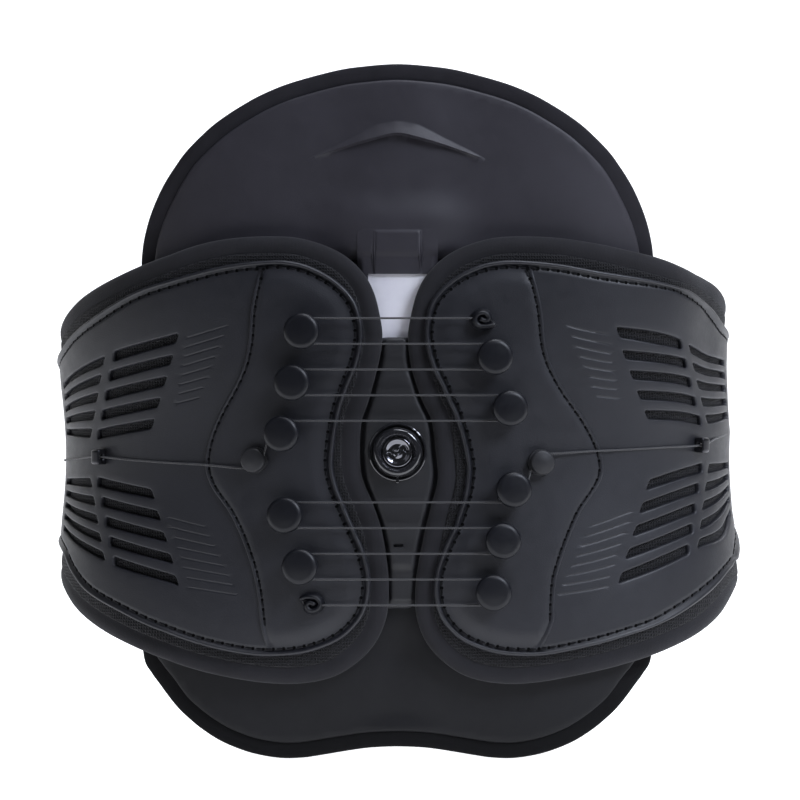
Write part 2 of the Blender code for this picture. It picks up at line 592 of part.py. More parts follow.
def lacing_cord(name, lower, side_run, finish):
    """One cord from its anchor, over its sheaves, round the guide and along the side to its handle."""
    turn = 180 if lower else 0
    first_side = 1 if lower else -1
    anchor_z = LOWER_LACING_MIRROR_Z - TOP_SPAN_Z if lower else TOP_SPAN_Z
    points = [wrap(-first_side * (ANCHOR[0] - 6.1), anchor_z, SHEAVE_D - 1.0) * MM]
    guide_z = LOWER_LACING_MIRROR_Z - GUIDE[1] if lower else GUIDE[1]
    guide = local_frame(first_side * GUIDE[0], guide_z, GUIDE_GROOVE_D)
    last = len(SHEAVE_U) - 1
    for index in range(last + 1):
        place = local_frame(*sheave_centre(index, lower), SHEAVE_D)
        way = 1 if index % 2 == 0 else -1
        if index < last:
            points += arc(place, SHEAVE_PITCH_RADIUS, 90 + turn, 90 + turn + 180 * way, 8)
    # The crossed tangent from the last sheave to the guide, in the plane of the last sheave.
    to_guide = place.inverted() @ guide.translation / MM
    bearing = math.degrees(math.atan2(to_guide.y, to_guide.x))
    reach = math.hypot(to_guide.x, to_guide.y)
    spread = math.degrees(math.acos((SHEAVE_PITCH_RADIUS + GUIDE_GROOVE_RADIUS) / reach))
    leave = (bearing - spread - 90 - turn) % 360 + 90 + turn
    points += arc(place, SHEAVE_PITCH_RADIUS, 90 + turn, leave, 4)
    meet = leave - 180
    points += arc(guide, GUIDE_GROOVE_RADIUS, meet, -94 + turn, 4)
    run = curve_through(side_run, 4, closed=False)
    points += [wrap(first_side * u, z, d) * MM for u, z, d in run]
    curve = bpy.data.curves.new(name, "CURVE")
    curve.dimensions = "3D"
    curve.bevel_depth = CORD_RADIUS * MM
    curve.bevel_resolution = 2
    curve.use_fill_caps = True
    spline = curve.splines.new("POLY")
    spline.points.add(len(points) - 1)
    for target, point in zip(spline.points, points):
        target.co = (*point, 1)
    curve.materials.append(finish)
    made = bpy.data.objects.new(name, curve)
    bpy.context.scene.collection.objects.link(made)
    return made


def side_run(side_name):
    """(u, z, d) from just past the guide, through the side eyelet and over the seam to the handle."""
    eyelet_u, eyelet_z = EYELETS[side_name]
    handle_z = HANDLE_Z[side_name]
    start_z = -4.1 if side_name == "left" else 2.6
    on_shell = SHELL[1] + CORD_RADIUS + 0.35
    middle_z = (eyelet_z + handle_z) / 2
    return (
        (70.0, start_z + 0.3, 22.8), (84.0, (2 * start_z + eyelet_z) / 3, 22.3),
        (100.0, (start_z + eyelet_z) / 2, on_shell + 0.1), (118.0, (start_z + 3 * eyelet_z) / 4, on_shell),
        (eyelet_u, eyelet_z, EYELET_HOLE_D), (152.0, (3 * eyelet_z + handle_z) / 4, on_shell + 0.1),
        (176.0, middle_z, on_shell), (200.0, (eyelet_z + 3 * handle_z) / 4, on_shell),
        (216.0, handle_z, on_shell + 0.1), (HANDLE_U - HANDLE_HALF[0] - 0.6, handle_z, 19.0),
    )


# Front wings


def wing_outline():
    """A wing from the side seam to its round end past the middle of the front."""
    start = SEAM_U + SEAM_GAP
    front = sum(radius * angle for radius, angle in WAIST_ARCS)
    flat_start = front
    end = front + straight_front() + WING_OVERLAP
    top = [(start, 53.9), (260, 50.5), (flat_start, 48.5), (end - 14, 47.5), (end - 4, 43.0), (end, 32.0)]
    return top + [(u, -z) for u, z in reversed(top)]


def straight_front():
    """Half the length of the waist's straight front, where the wings overlap."""
    x, heading = 0.0, 0.0
    for radius, angle in WAIST_ARCS:
        x += radius * (math.sin(heading + angle) - math.sin(heading))
        heading += angle
    return x


def right_lift(u):
    """The right wing rises over the left wing before the straight front."""
    end = sum(radius * angle for radius, angle in WAIST_ARCS) - 2
    t = min(max((u - RIGHT_LIFT_START) / (end - RIGHT_LIFT_START), 0), 1)
    return RIGHT_WING_LIFT * t * t * (3 - 2 * t)


def wings(fabric, loop, hook):
    """The two wings, with a loop patch outside the left one and a hook patch inside the right one."""
    middle = sum(radius * angle for radius, angle in WAIST_ARCS) + straight_front()
    patch_half = (WING_OVERLAP - 6, 38.0)
    add_object("left_wing", bend(prism(wing_outline(), *WING), -1), fabric)
    add_object("right_wing", bend(prism(wing_outline(), *WING), 1, right_lift), fabric)
    loop_outline = rounded_box((middle, 0), patch_half, 4.0, 2)
    add_object("left_loop_patch", bend(prism(loop_outline, *LOOP_PATCH), -1), loop)
    hook_outline = rounded_box((middle, 0), (patch_half[0], patch_half[1] - 3), 4.0, 2)
    add_object("right_hook_patch", bend(prism(hook_outline, *HOOK_PATCH), 1), hook)


def pull_handles(finish, hook):
    """Pull tabs with a finger slot, parked on the wings on their own hook pads."""
    for side_name, sign in (("left", -1), ("right", 1)):
        centre = (HANDLE_U, HANDLE_Z[side_name])
        finger = rounded_box((centre[0] + 9.0, centre[1]), (13.0, 7.5), 7.2, 3)
        tab = prism(rounded_box(centre, HANDLE_HALF, 9.0, 4), *HANDLE, [finger])
        add_object(f"{side_name}_pull_handle", bend(tab, sign), finish)
        pad = prism(rounded_box((centre[0] - 17.5, centre[1]), (10.5, 12.0), 3.0, 2), *HANDLE_PATCH)
        add_object(f"{side_name}_handle_hook_pad", bend(pad, sign), hook)


def main():
    for existing in list(bpy.data.objects):
        bpy.data.objects.remove(existing)
    plate = material("satin_plastic", (0.035, 0.034, 0.040), 0.5)
    gloss = material("gloss_plastic", (0.020, 0.022, 0.032), 0.15)
    chrome = material("chrome", (0.62, 0.62, 0.64), 0.12, 1.0)
    light = material("light_plastic", (0.55, 0.54, 0.60), 0.5)
    foam = material("edge_fabric", (0.018, 0.018, 0.021), 0.9)
    net = material("mesh_fabric", (0.014, 0.014, 0.016), 0.9)
    leather = material("leatherette", (0.030, 0.031, 0.038), 0.45)
    nylon = material("nylon", (0.06, 0.06, 0.065), 0.6)

    back_plate("lower_back_plate", LOWER_PLATE_HALF, plate)
    back_liner("lower_liner", LOWER_PLATE_HALF, foam)
    spine_housing(plate)
    lock_dial(gloss, chrome, gloss)
    back_plate("upper_back_plate", UPPER_PLATE_HALF, plate)
    back_liner("upper_liner", UPPER_PLATE_HALF, foam)
    height_rail(light)
    rail_sleeve(plate)
    for side_name, side in (("left", -1), ("right", 1)):
        panel(side_name, side, {"binding": foam, "mesh": net, "shell": leather})
    pulleys(gloss, nylon)
    cord_fittings(gloss, nylon)
    lacing_cord("upper_lacing_cord", False, side_run("left"), nylon)
    lacing_cord("lower_lacing_cord", True, side_run("right"), nylon)
    wings(foam, net, nylon)
    pull_handles(gloss, nylon)


main()
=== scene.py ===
"""The looks of the back brace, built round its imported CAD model.

Most pieces lie along the waist, so they are drawn in surface coordinates, in millimetres: u runs along
the waist from the middle of the back, z is the height, and d the distance out from the wearer. wrap()
turns them into metres in the object's frame.
"""

import math

import bpy
import numpy as np
from mathutils import Matrix, Vector
from mathutils.geometry import delaunay_2d_cdt


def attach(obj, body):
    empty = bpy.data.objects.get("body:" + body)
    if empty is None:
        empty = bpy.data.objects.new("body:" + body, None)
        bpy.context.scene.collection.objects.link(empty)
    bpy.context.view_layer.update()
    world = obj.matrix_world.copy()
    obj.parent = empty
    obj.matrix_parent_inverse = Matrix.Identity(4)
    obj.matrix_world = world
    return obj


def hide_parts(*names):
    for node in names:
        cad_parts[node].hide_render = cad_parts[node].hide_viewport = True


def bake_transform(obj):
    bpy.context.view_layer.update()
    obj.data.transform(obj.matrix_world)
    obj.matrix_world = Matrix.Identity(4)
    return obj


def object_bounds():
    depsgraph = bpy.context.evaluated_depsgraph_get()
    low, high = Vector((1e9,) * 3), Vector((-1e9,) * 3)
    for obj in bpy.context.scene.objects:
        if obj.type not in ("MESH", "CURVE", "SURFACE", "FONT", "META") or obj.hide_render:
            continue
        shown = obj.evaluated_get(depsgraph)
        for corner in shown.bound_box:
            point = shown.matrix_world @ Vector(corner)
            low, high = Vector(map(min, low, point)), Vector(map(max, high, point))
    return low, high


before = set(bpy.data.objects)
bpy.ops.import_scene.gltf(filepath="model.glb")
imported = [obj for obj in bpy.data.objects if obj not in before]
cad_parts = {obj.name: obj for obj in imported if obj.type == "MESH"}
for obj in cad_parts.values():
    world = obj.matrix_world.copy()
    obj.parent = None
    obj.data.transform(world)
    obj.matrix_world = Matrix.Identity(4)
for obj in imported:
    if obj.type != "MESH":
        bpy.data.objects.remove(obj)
cad_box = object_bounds()

MM = 0.001
SIDES = (("left", -1), ("right", 1))

# The waist and its layers, as in the CAD model.
WAIST_ARCS = ((260.0, math.radians(22)), (74.0, math.radians(68)), (93.0, math.radians(90)))
WAIST_LENGTH = sum(radius * angle for radius, angle in WAIST_ARCS)
WAIST_BACK_Y = -94.0
FLARE_DEPTH, FLARE_HEIGHT, FLARE_FREE_U, FLARE_FULL_U = 14.0, 75.0, 20.0, 100.0
PLATE_BOTTOM, FABRIC_TOP, PLATE_TOP = 4.95, 6.3, 7.7
# The upper plate is sunk under the sleeve, inside this half width and below this height.
SLEEVE_HALF, SLEEVE_Z = 16.6, 105.5
HOUSING_TOP, RIDGE_TOP = 11.2, 14.9
# The inner and outer depth of each layer of the panels and the wings.
PAD_D, SHELL_D, PULLEY_PLATE_D, WING_D = (12.0, 16.4), (17.3, 19.4), (19.0, 20.85), (12.0, 16.0)
MESH_BOTTOM, SHELL_FACE, SEAM_D = 15.9, 19.3, 14.0
FITTING_BASE = 20.7
SHELL_THREAD_D, PLATE_THREAD_D, SEAM_THREAD_D = 18.85, 19.4, 20.35
# How far inside its outline each piece's bound or fabric edge ends, the mesh begins and the rows of
# stitches run.
UPPER_BAND, LOWER_BAND, PAD_BAND, WING_BAND, PIPING_BAND = 7.4, 7.2, 8.2, 6.0, 2.2
MESH_INSET, SHELL_ROW_INSET, WING_ROW_INSET = 7.8, 3.4, 7.4

# The lacing. The lower cord mirrors the upper one, so that the heights of a pair add up to MIRROR_Z.
CORD_RADIUS, SPAN_STEP, SHEAVE_D = 0.47, 11.8, 25.2
PITCH_RADIUS = SPAN_STEP / 2
TOP_SPAN_Z = 65.2
SHEAVE_U = (40.0, 40.7, 44.0, 47.0, 48.5)
CAP_BOTTOM = 27.4
MIRROR_Z = -1.5
ANCHOR, ANCHOR_D = (36.5, 64.4), 21.2
GUIDE, GUIDE_RADIUS, GUIDE_D = (61.6, -0.2), 4.0, 23.2
GUIDE_EXIT_Z = {"left": -4.1, "right": 2.6}
EYELETS = {"left": (134.0, 0.6), "right": (137.5, 6.2)}
EYELET_D = 22.4

SEAM_U, SEAM_GAP, BEND_LENGTH = 222.0, 0.6, 15.0
DIAL_Z, DIAL_RADIUS, DIAL_SEAT, CORE_RADIUS = 3.5, 11.5, 12.3, 7.0
WING_OVERLAP, RIGHT_WING_LIFT, RIGHT_LIFT_START = 36.0, 7.0, 290.0
HANDLE_U, HANDLE_HALF = 270.0, (31.0, 16.0)
HANDLE_Z = {"left": -4.0, "right": 18.0}

PANEL_INNER_EDGE = (
    (24.2, 95.1), (15.4, 86.8), (10.3, 77.2), (7.4, 64.8), (6.6, 56.0), (8.3, 44.6), (12.7, 27.1),
    (15.8, 17.4), (16.5, 3.6), (15.4, -8.4), (10.8, -20.4), (6.8, -33.2), (4.6, -47.4), (3.8, -58.0),
    (4.6, -71.7), (9.5, -84.4), (18.7, -94.6),
)
PANEL_EDGE = (
    (SEAM_U, 54.0), (196, 58.5), (168, 67.0), (143, 77.5), (125, 85.0), (108, 92.0), (88, 99.2),
    (70, 102.7), (49, 103.2), (36, 100.6), *PANEL_INNER_EDGE, (31.0, -101.4), (49, -103.8),
    (72, -101.2), (97, -94.9), (125, -84.0), (147, -74.3), (168, -64.5), (196, -56.5), (SEAM_U, -53.0),
)
SHELL_EDGE = (
    (216, 38.0), (196, 42.5), (166, 51.5), (150, 59.0), (132, 68.0), (110, 79.5), (87, 86.6),
    (71, 90.3), (56, 92.0), (47.4, 91.9), (38.0, 89.5), (27.0, 83.1), (19.0, 74.4), (15.6, 64.8),
    (14.9, 56.1), (17.0, 44.6), (21.5, 32.7), (25.6, 18.4), (27.8, 0.0), (26.4, -10.7), (23.0, -20.3),
    (18.8, -30.8), (14.0, -42.7), (11.7, -54.1), (12.4, -64.6), (16.1, -74.2), (24.8, -83.1),
    (37.7, -88.7), (50.4, -90.6), (64.0, -90.2), (84, -86.0), (104, -79.2), (120, -71.8),
    (139, -63.2), (152, -54.6), (166, -45.5), (196, -39.5), (216, -36.5),
)
PLATE_SEAM = (
    (59.0, 88.4), (62.7, 70.9), (64.6, 52.1), (69.0, 37.8), (80.2, 16.5), (84.6, 0.2), (82.0, -11.9),
    (72.6, -25.7), (65.3, -42.2), (60.8, -58.6), (58.4, -77.4), (55.8, -87.2),
)
PLATE_INNER = (
    (55.8, -87.2), (49.5, -87.4), (38.5, -85.5), (26.9, -80.3), (19.2, -72.2), (15.6, -63.8),
    (14.9, -54.2), (17.1, -43.6), (21.9, -31.8), (26.1, -21.3), (29.5, -11.3), (30.9, 0.0),
    (28.7, 19.0), (24.5, 33.6), (20.1, 45.4), (18.1, 56.2), (18.7, 64.1), (21.8, 72.7), (28.9, 80.6),
    (39.2, 86.4), (48.0, 88.7), (59.0, 88.4),
)
UPPER_RIM_HALF = (
    (0, 184.0), (14, 183.1), (28, 181.1), (48, 175.5), (61, 170.0), (70.6, 164.4), (78.6, 159.0),
    (85.4, 153.5), (96.3, 142.6), (104, 131.5), (109.7, 120.5), (114, 109.5), (116.8, 98.3),
    (117.4, 88.0), (113.0, 79.5), (103, 75.0), (62, 74.5), (46, 78.5), (34, 84.4), (18, 85.0), (0, 85.0),
)
LOWER_RIM_HALF = (
    (0, 53.0), (24, 52.5), (60, 47.0), (96, 39.0), (111, 26.0), (116, 8.0), (118.5, -40.0),
    (118.5, -76.0),
    (116.2, -94.0), (112.0, -101.0), (108.0, -106.0), (100.4, -115.7), (94.6, -121.0), (87.5, -126.5),
    (78.0, -132.2), (66.0, -136.8), (54.0, -139.1), (44.0, -139.1), (36.0, -138.0), (25.0, -136.1),
    (13.0, -134.3), (0, -133.7),
)
# The right panel's inner side leans: how far it moves outwards at each height.
PAD_LEAN = (
    (-100, 2.5), (-60, 4.0), (-37, 5.2), (-27, 4.9), (-15, 3.5), (-4, 1.4), (4, 0.2), (18, -0.8),
    (30, -2.1), (40, -2.7), (60, -1.9), (100, -1.5),
)
SHELL_LEAN = (
    (-90, 2.0), (-75, 3.0), (-60, 3.9), (-40, 5.0), (-30, 5.2), (-20, 4.2), (-10, 2.8), (0, 1.6),
    (10, 0.5), (20, -0.8), (30, -2.2), (40, -2.9), (60, -3.3), (76, -4.0), (92, -4.0),
)
SEAM_LEAN = ((-87, 4.6), (-74, 7.0), (-55, 5.5), (-31, 6.5), (-9, 6.5), (9, 4.0), (30, 1.0), (50, 0.0))
# The side of the right panel sits askew, as in the CAD model. The _U pairs say between which u each
# move sets in or fades, and the tables how far it goes at each height.
ASKEW_FADE_U = (186.0, 221.0)
HALFWAY_U, SIDE_U, OUT_FADE_U, IN_U = (75.0, 130.0), (130.0, 178.0), (140.0, 185.0), (116.0, 150.0)
HALFWAY_UP = (
    (-95, -3.0), (-72, -2.5), (-62, 2.0), (-50, 5.5), (-14, 6.5), (13, 6.5), (50, 5.5), (60, 10.0),
    (70, 9.0), (75, 7.0), (80, 5.6), (90, 5.6),
)
SIDE_UP = (
    (-72, 0.0), (-60, -1.0), (-52, -5.0), (-45, -6.5), (-36.5, 7.5), (-30, 8.5), (-10, 8.0), (11, 8.5),
    (33, 13.4), (40, 13.8), (47.5, 13.4), (56, 12.8), (64, 12.5), (76, 11.0),
)
SIDE_LATE = ((-20, 0.0), (5, 8.0), (46, 8.0), (60, -10.0))
ASKEW_OUT = ((-72, 0.0), (-60, 3.0), (-50, 4.5), (-14, 4.0), (15, 2.5), (60, -0.5), (80, 0.0))
ASKEW_IN = ((-45, -1.4), (-25, 0.0), (12, 0.0), (45, 5.0), (60, 6.0), (100, 5.0))
# The spine's ridge fills the gap between the panels, so it leans with the right one.
RIDGE = (
    (-5.4, 56.3), (-6.9, 46.0), (-11.2, 28.0), (-14.2, 17.5), (-15.0, 4.0), (-14.0, -8.4), (-9.7, -20.4),
    (-5.8, -33.0), (-3.7, -46.0), (-3.2, -63.0), (-2.6, -65.6), (6.2, -65.6), (6.8, -63.0), (8.2, -46.0),
    (10.6, -33.0), (13.6, -20.4), (16.0, -8.4), (15.2, 4.0), (13.8, 17.5), (9.3, 28.0), (4.6, 45.0),
    (3.8, 56.3),
)
HOUSING_CORNERS = ((-18.6, 56.6), (18.6, 56.6))
HOUSING_FOOT = ((18.6, -50), (12.0, -58.0), (6.6, -68.0), (0, -69.0), (-6.6, -68.0), (-12.0, -58.0),
                (-18.6, -50.0))
CHEVRON_TOP = ((-41.0, 139.2), (-33.0, 143.2), (-21.6, 148.9), (-9.1, 155.5), (0.0, 157.0),
               (9.1, 155.5), (21.6, 148.9), (33.0, 143.2), (40.0, 139.2))
CHEVRON_FOOT = ((-41.0, 139.2), (-21.6, 145.9), (-5.7, 150.5), (0.0, 151.4),
                (5.7, 150.5), (21.6, 145.9), (40.0, 139.2))
HOLE_RADIUS = 0.78
# Of each column of slots: the first slot's inner and outer end, the step of each end to the next slot,
# and the height of each end.
SLOT_COLUMNS = (
    ((96.0, 56.4), (124.5, 48.2), (3.1, -10.0), (3.2, -9.25), (4.4, 4.4)),
    ((130.0, 46.2), (168.0, 34.4), (3.0, -8.6), (0.8, -5.6), (4.2, 2.6)),
)
# Eight fine grooves beside each group of slots: the first and the last, as (outer end, inner end).
GROOVES = (
    (((90.9, 56.4), (73.4, 61.8)), ((96.6, 26.2), (87.5, 28.5))),
    (((100.7, -27.5), (84.2, -31.4)), ((89.4, -59.6), (69.4, -62.5))),
)


# Surface coordinates


def wrap(u, z, d):
    """Points of the object's frame, in metres, at surface coordinates in millimetres."""
    u, z, d = np.broadcast_arrays(np.asarray(u, float), np.asarray(z, float), np.asarray(d, float))
    left = np.abs(u)
    x, y, heading = np.zeros(u.shape), np.full(u.shape, WAIST_BACK_Y), np.zeros(u.shape)
    for radius, angle in WAIST_ARCS:
        turn = np.minimum(left, radius * angle) / radius
        x = x + radius * (np.sin(heading + turn) - np.sin(heading))
        y = y - radius * (np.cos(heading + turn) - np.cos(heading))
        heading = heading + turn
        left = left - radius * turn
    t = np.clip((np.abs(u) - FLARE_FREE_U) / (FLARE_FULL_U - FLARE_FREE_U), 0, 1)
    out = d + FLARE_DEPTH * (1 - 1 / (1 + (z / FLARE_HEIGHT) ** 2)) * t * t * (3 - 2 * t)
    x = x + left * np.cos(heading) + out * np.sin(heading)
    y = y + left * np.sin(heading) - out * np.cos(heading)
    return np.stack([np.where(u >= 0, x, -x), y, z], -1) * MM


def point(u, z, d):
    return Vector(wrap(u, z, d))


def local_frame(u, z, d):
    """A matrix in metres whose X runs along the waist to the right, Y up the surface and Z outwards."""
    along = (point(u + 0.05, z, d) - point(u - 0.05, z, d)).normalized()
    out = along.cross(point(u, z + 0.05, d) - point(u, z - 0.05, d)).normalized()
    turn = Matrix((along, out.cross(along), out)).transposed().to_4x4()
    return Matrix.Translation(point(u, z, d)) @ turn


def smooth(t):
    t = np.clip(t, 0, 1)
    return t * t * (3 - 2 * t)


def quarter_round(distance, radius):
    """0 at an edge, rising along a quarter circle to 1 at the radius."""
    return np.sqrt(1 - (1 - np.clip(distance / radius, 0, 1)) ** 2)


def level(d, rise=0.0, radius=1.0):
    """The height of a level surface for skin(), rising by rise over a rounded edge."""
    return lambda u, z, rim, hole: d + rise * quarter_round(np.minimum(rim, hole), radius)


def hill(distance, radius):
    """1 in the middle, falling along a half circle to 0 at the radius."""
    return np.sqrt(np.clip(1 - (distance / radius) ** 2, 0, 1))


def right_lift(u):
    """How far the right wing lies further out, where it closes over the left one."""
    t = smooth((np.abs(u) - RIGHT_LIFT_START) / (WAIST_LENGTH - 2 - RIGHT_LIFT_START))
    return RIGHT_WING_LIFT * t


# Outlines


def resampled(points, gap, closed=False):
    """A smooth curve through the points, with a point about every gap."""
    points = np.array(points, float)
    if len(points) == 2:
        fine = np.linspace(points[0], points[1], 2)
    else:
        count = len(points)
        fine = []
        for i in range(count if closed else count - 1):
            a, b, c, e = (points[(i + k) % count if closed else min(max(i + k, 0), count - 1)]
                          for k in (-1, 0, 1, 2))
            for t in np.arange(0, 1, 0.1):
                fine.append(0.5 * (2 * b + (c - a) * t + (2 * a - 5 * b + 4 * c - e) * t * t
                                   + (3 * b - a - 3 * c + e) * t ** 3))
        fine.append(points[0] if closed else points[-1])
        fine = np.array(fine)
    lengths = lengths_along(fine)
    steps = max(int(round(lengths[-1] / gap)), 1)
    at = np.linspace(0, lengths[-1], steps + 1)
    made = np.stack([np.interp(at, lengths, fine[:, k]) for k in range(fine.shape[1])], 1)
    return made[:-1] if closed else made


def loop_of(*runs, gap=1.8):
    """A closed outline of smooth runs that meet at corners."""
    return np.concatenate([resampled(run, gap)[:-1] for run in runs])


def whole(half):
    """The half outline and its mirror image."""
    return list(half) + [(-u, z) for u, z in reversed(half) if u]


def rounded_box(centre, half, radius, gap=1.2):
    steps = max(int(radius * 1.57 / gap), 2)
    found = []
    for quarter in range(4):
        x_side, z_side = ((1, 1), (-1, 1), (-1, -1), (1, -1))[quarter]
        for step in range(steps + 1):
            angle = math.pi / 2 * (quarter + step / steps)
            found.append((centre[0] + x_side * (half[0] - radius) + radius * math.cos(angle),
                          centre[1] + z_side * (half[1] - radius) + radius * math.sin(angle)))
    return divided(np.array(found), gap)


def divided(loop, gap):
    """The closed loop with further points along its straight runs."""
    found = []
    for a, b in zip(loop, np.roll(loop, -1, 0)):
        count = max(int(math.dist(a, b) / gap), 1)
        found += [a + (b - a) * k / count for k in range(count)]
    return np.array(found)


def circle(centre, radius, sides):
    angle = np.arange(sides) * math.tau / sides
    return np.stack([centre[0] + radius * np.cos(angle), centre[1] + radius * np.sin(angle)], 1)


def leaned(line, table, side):
    """The line as it runs on this side's panel."""
    line = np.array(line, float)
    if side > 0:
        shift = table_at(table, line[:, 1])
        line[:, 0] += shift * (1 - smooth((line[:, 0] - 30) / 50))
    return line


def table_at(table, z):
    return np.interp(z, *np.transpose(table))


def between(span, value):
    """0 to 1 over the span, eased at both ends."""
    return smooth((value - span[0]) / (span[1] - span[0]))


def askew(u, z, d):
    """Where points of the right panel lie once its side is askew."""
    fade = 1 - between(ASKEW_FADE_U, u)
    share = between(HALFWAY_U, u) * fade
    halfway, side = table_at(HALFWAY_UP, z), table_at(SIDE_UP, z)
    up = share * (halfway + (side - halfway) * between(SIDE_U, u - table_at(SIDE_LATE, z)))
    out = share * table_at(ASKEW_OUT, z) * (1 - between(OUT_FADE_U, u))
    return u + out, z + up, d - between(IN_U, u) * fade * table_at(ASKEW_IN, z + up)


def as_is(u, z, d):
    return u, z, d


def offset(loop, distance):
    """The closed loop moved inwards, keeping only the points that stay that far from it."""
    before, after = np.roll(loop, 1, 0), np.roll(loop, -1, 0)
    area = np.sum(loop[:, 0] * after[:, 1] - after[:, 0] * loop[:, 1])
    along = after - before
    along /= np.maximum(np.linalg.norm(along, axis=1, keepdims=True), 1e-9)
    turn = math.copysign(1, area)
    moved = loop + turn * distance * np.stack([-along[:, 1], along[:, 0]], 1)
    return moved[distance_to(moved, [loop]) > abs(distance) * 0.96]


def opened(loop, keep_u):
    """The part of a closed loop where keep_u(u) holds, as one run that starts after the cut."""
    run = loop[keep_u(loop[:, 0])]
    return np.roll(run, -1 - int(np.argmax(np.linalg.norm(np.diff(run, axis=0), axis=1))), 0)


def lengths_along(path):
    """How far each point of a path is from its start."""
    return np.concatenate([[0], np.cumsum(np.linalg.norm(np.diff(path, axis=0), axis=1))])


def away(u, z, lines, closed=False):
    """The distance of each (u, z) to the nearest of the lines."""
    return distance_to(np.stack([u, z], 1), lines, closed)


def distance_to(points, lines, closed=True):
    """Each point's distance to the nearest of the lines."""
    best = np.full(len(points), 1e9)
    for line in lines:
        starts = np.asarray(line, float)
        ends = np.roll(starts, -1, 0) if closed else starts[1:]
        starts = starts if closed else starts[:-1]
        run = ends - starts
        size = np.maximum(np.sum(run * run, 1), 1e-12)
        for low in range(0, len(points), 2000):
            part = points[low:low + 2000]
            from_start = part[:, None] - starts[None]
            t = np.clip(np.sum(from_start * run[None], 2) / size[None], 0, 1)
            gap = np.linalg.norm(from_start - t[..., None] * run[None], axis=2).min(1)
            best[low:low + 2000] = np.minimum(best[low:low + 2000], gap)
    return best


def inside(points, loop):
    """Which of the points lie in the closed loop."""
    found = np.zeros(len(points), bool)
    for a, b in zip(loop, np.roll(loop, -1, 0)):
        if a[1] == b[1]:
            continue
        crosses = (a[1] > points[:, 1]) != (b[1] > points[:, 1])
        at = a[0] + (points[:, 1] - a[1]) * (b[0] - a[0]) / (b[1] - a[1])
        found ^= crosses & (points[:, 0] < at)
    return found


# Meshes


def finish_mesh(name, points, faces, finishes, uv=None, groups=None, edge=None, sharp=50):
    """An object from points in metres, with the finishes of these keys. uv is in metres too."""
    mesh = bpy.data.meshes.new(name)
    mesh.from_pydata([tuple(p) for p in points], [], [tuple(int(i) for i in f) for f in faces])
    for key in [finishes] if isinstance(finishes, str) else finishes:
        mesh.materials.append(FINISH[key])
    if groups is not None:
        mesh.polygons.foreach_set("material_index", np.asarray(groups, np.int32))
    if uv is not None:
        layer = mesh.uv_layers.new(name="UVMap")
        corners = np.zeros(len(mesh.loops), np.int32)
        mesh.loops.foreach_get("vertex_index", corners)
        layer.data.foreach_set("uv", np.asarray(uv, np.float32)[corners].reshape(-1))
    if edge is not None:
        mesh.attributes.new("edge", "FLOAT", "POINT").data.foreach_set("value", np.asarray(edge, np.float32))
    mesh.shade_smooth()
    mesh.set_sharp_from_angle(angle=math.radians(sharp))
    mesh.update()
    made = bpy.data.objects.new(name, mesh)
    bpy.context.scene.collection.objects.link(made)
    return made


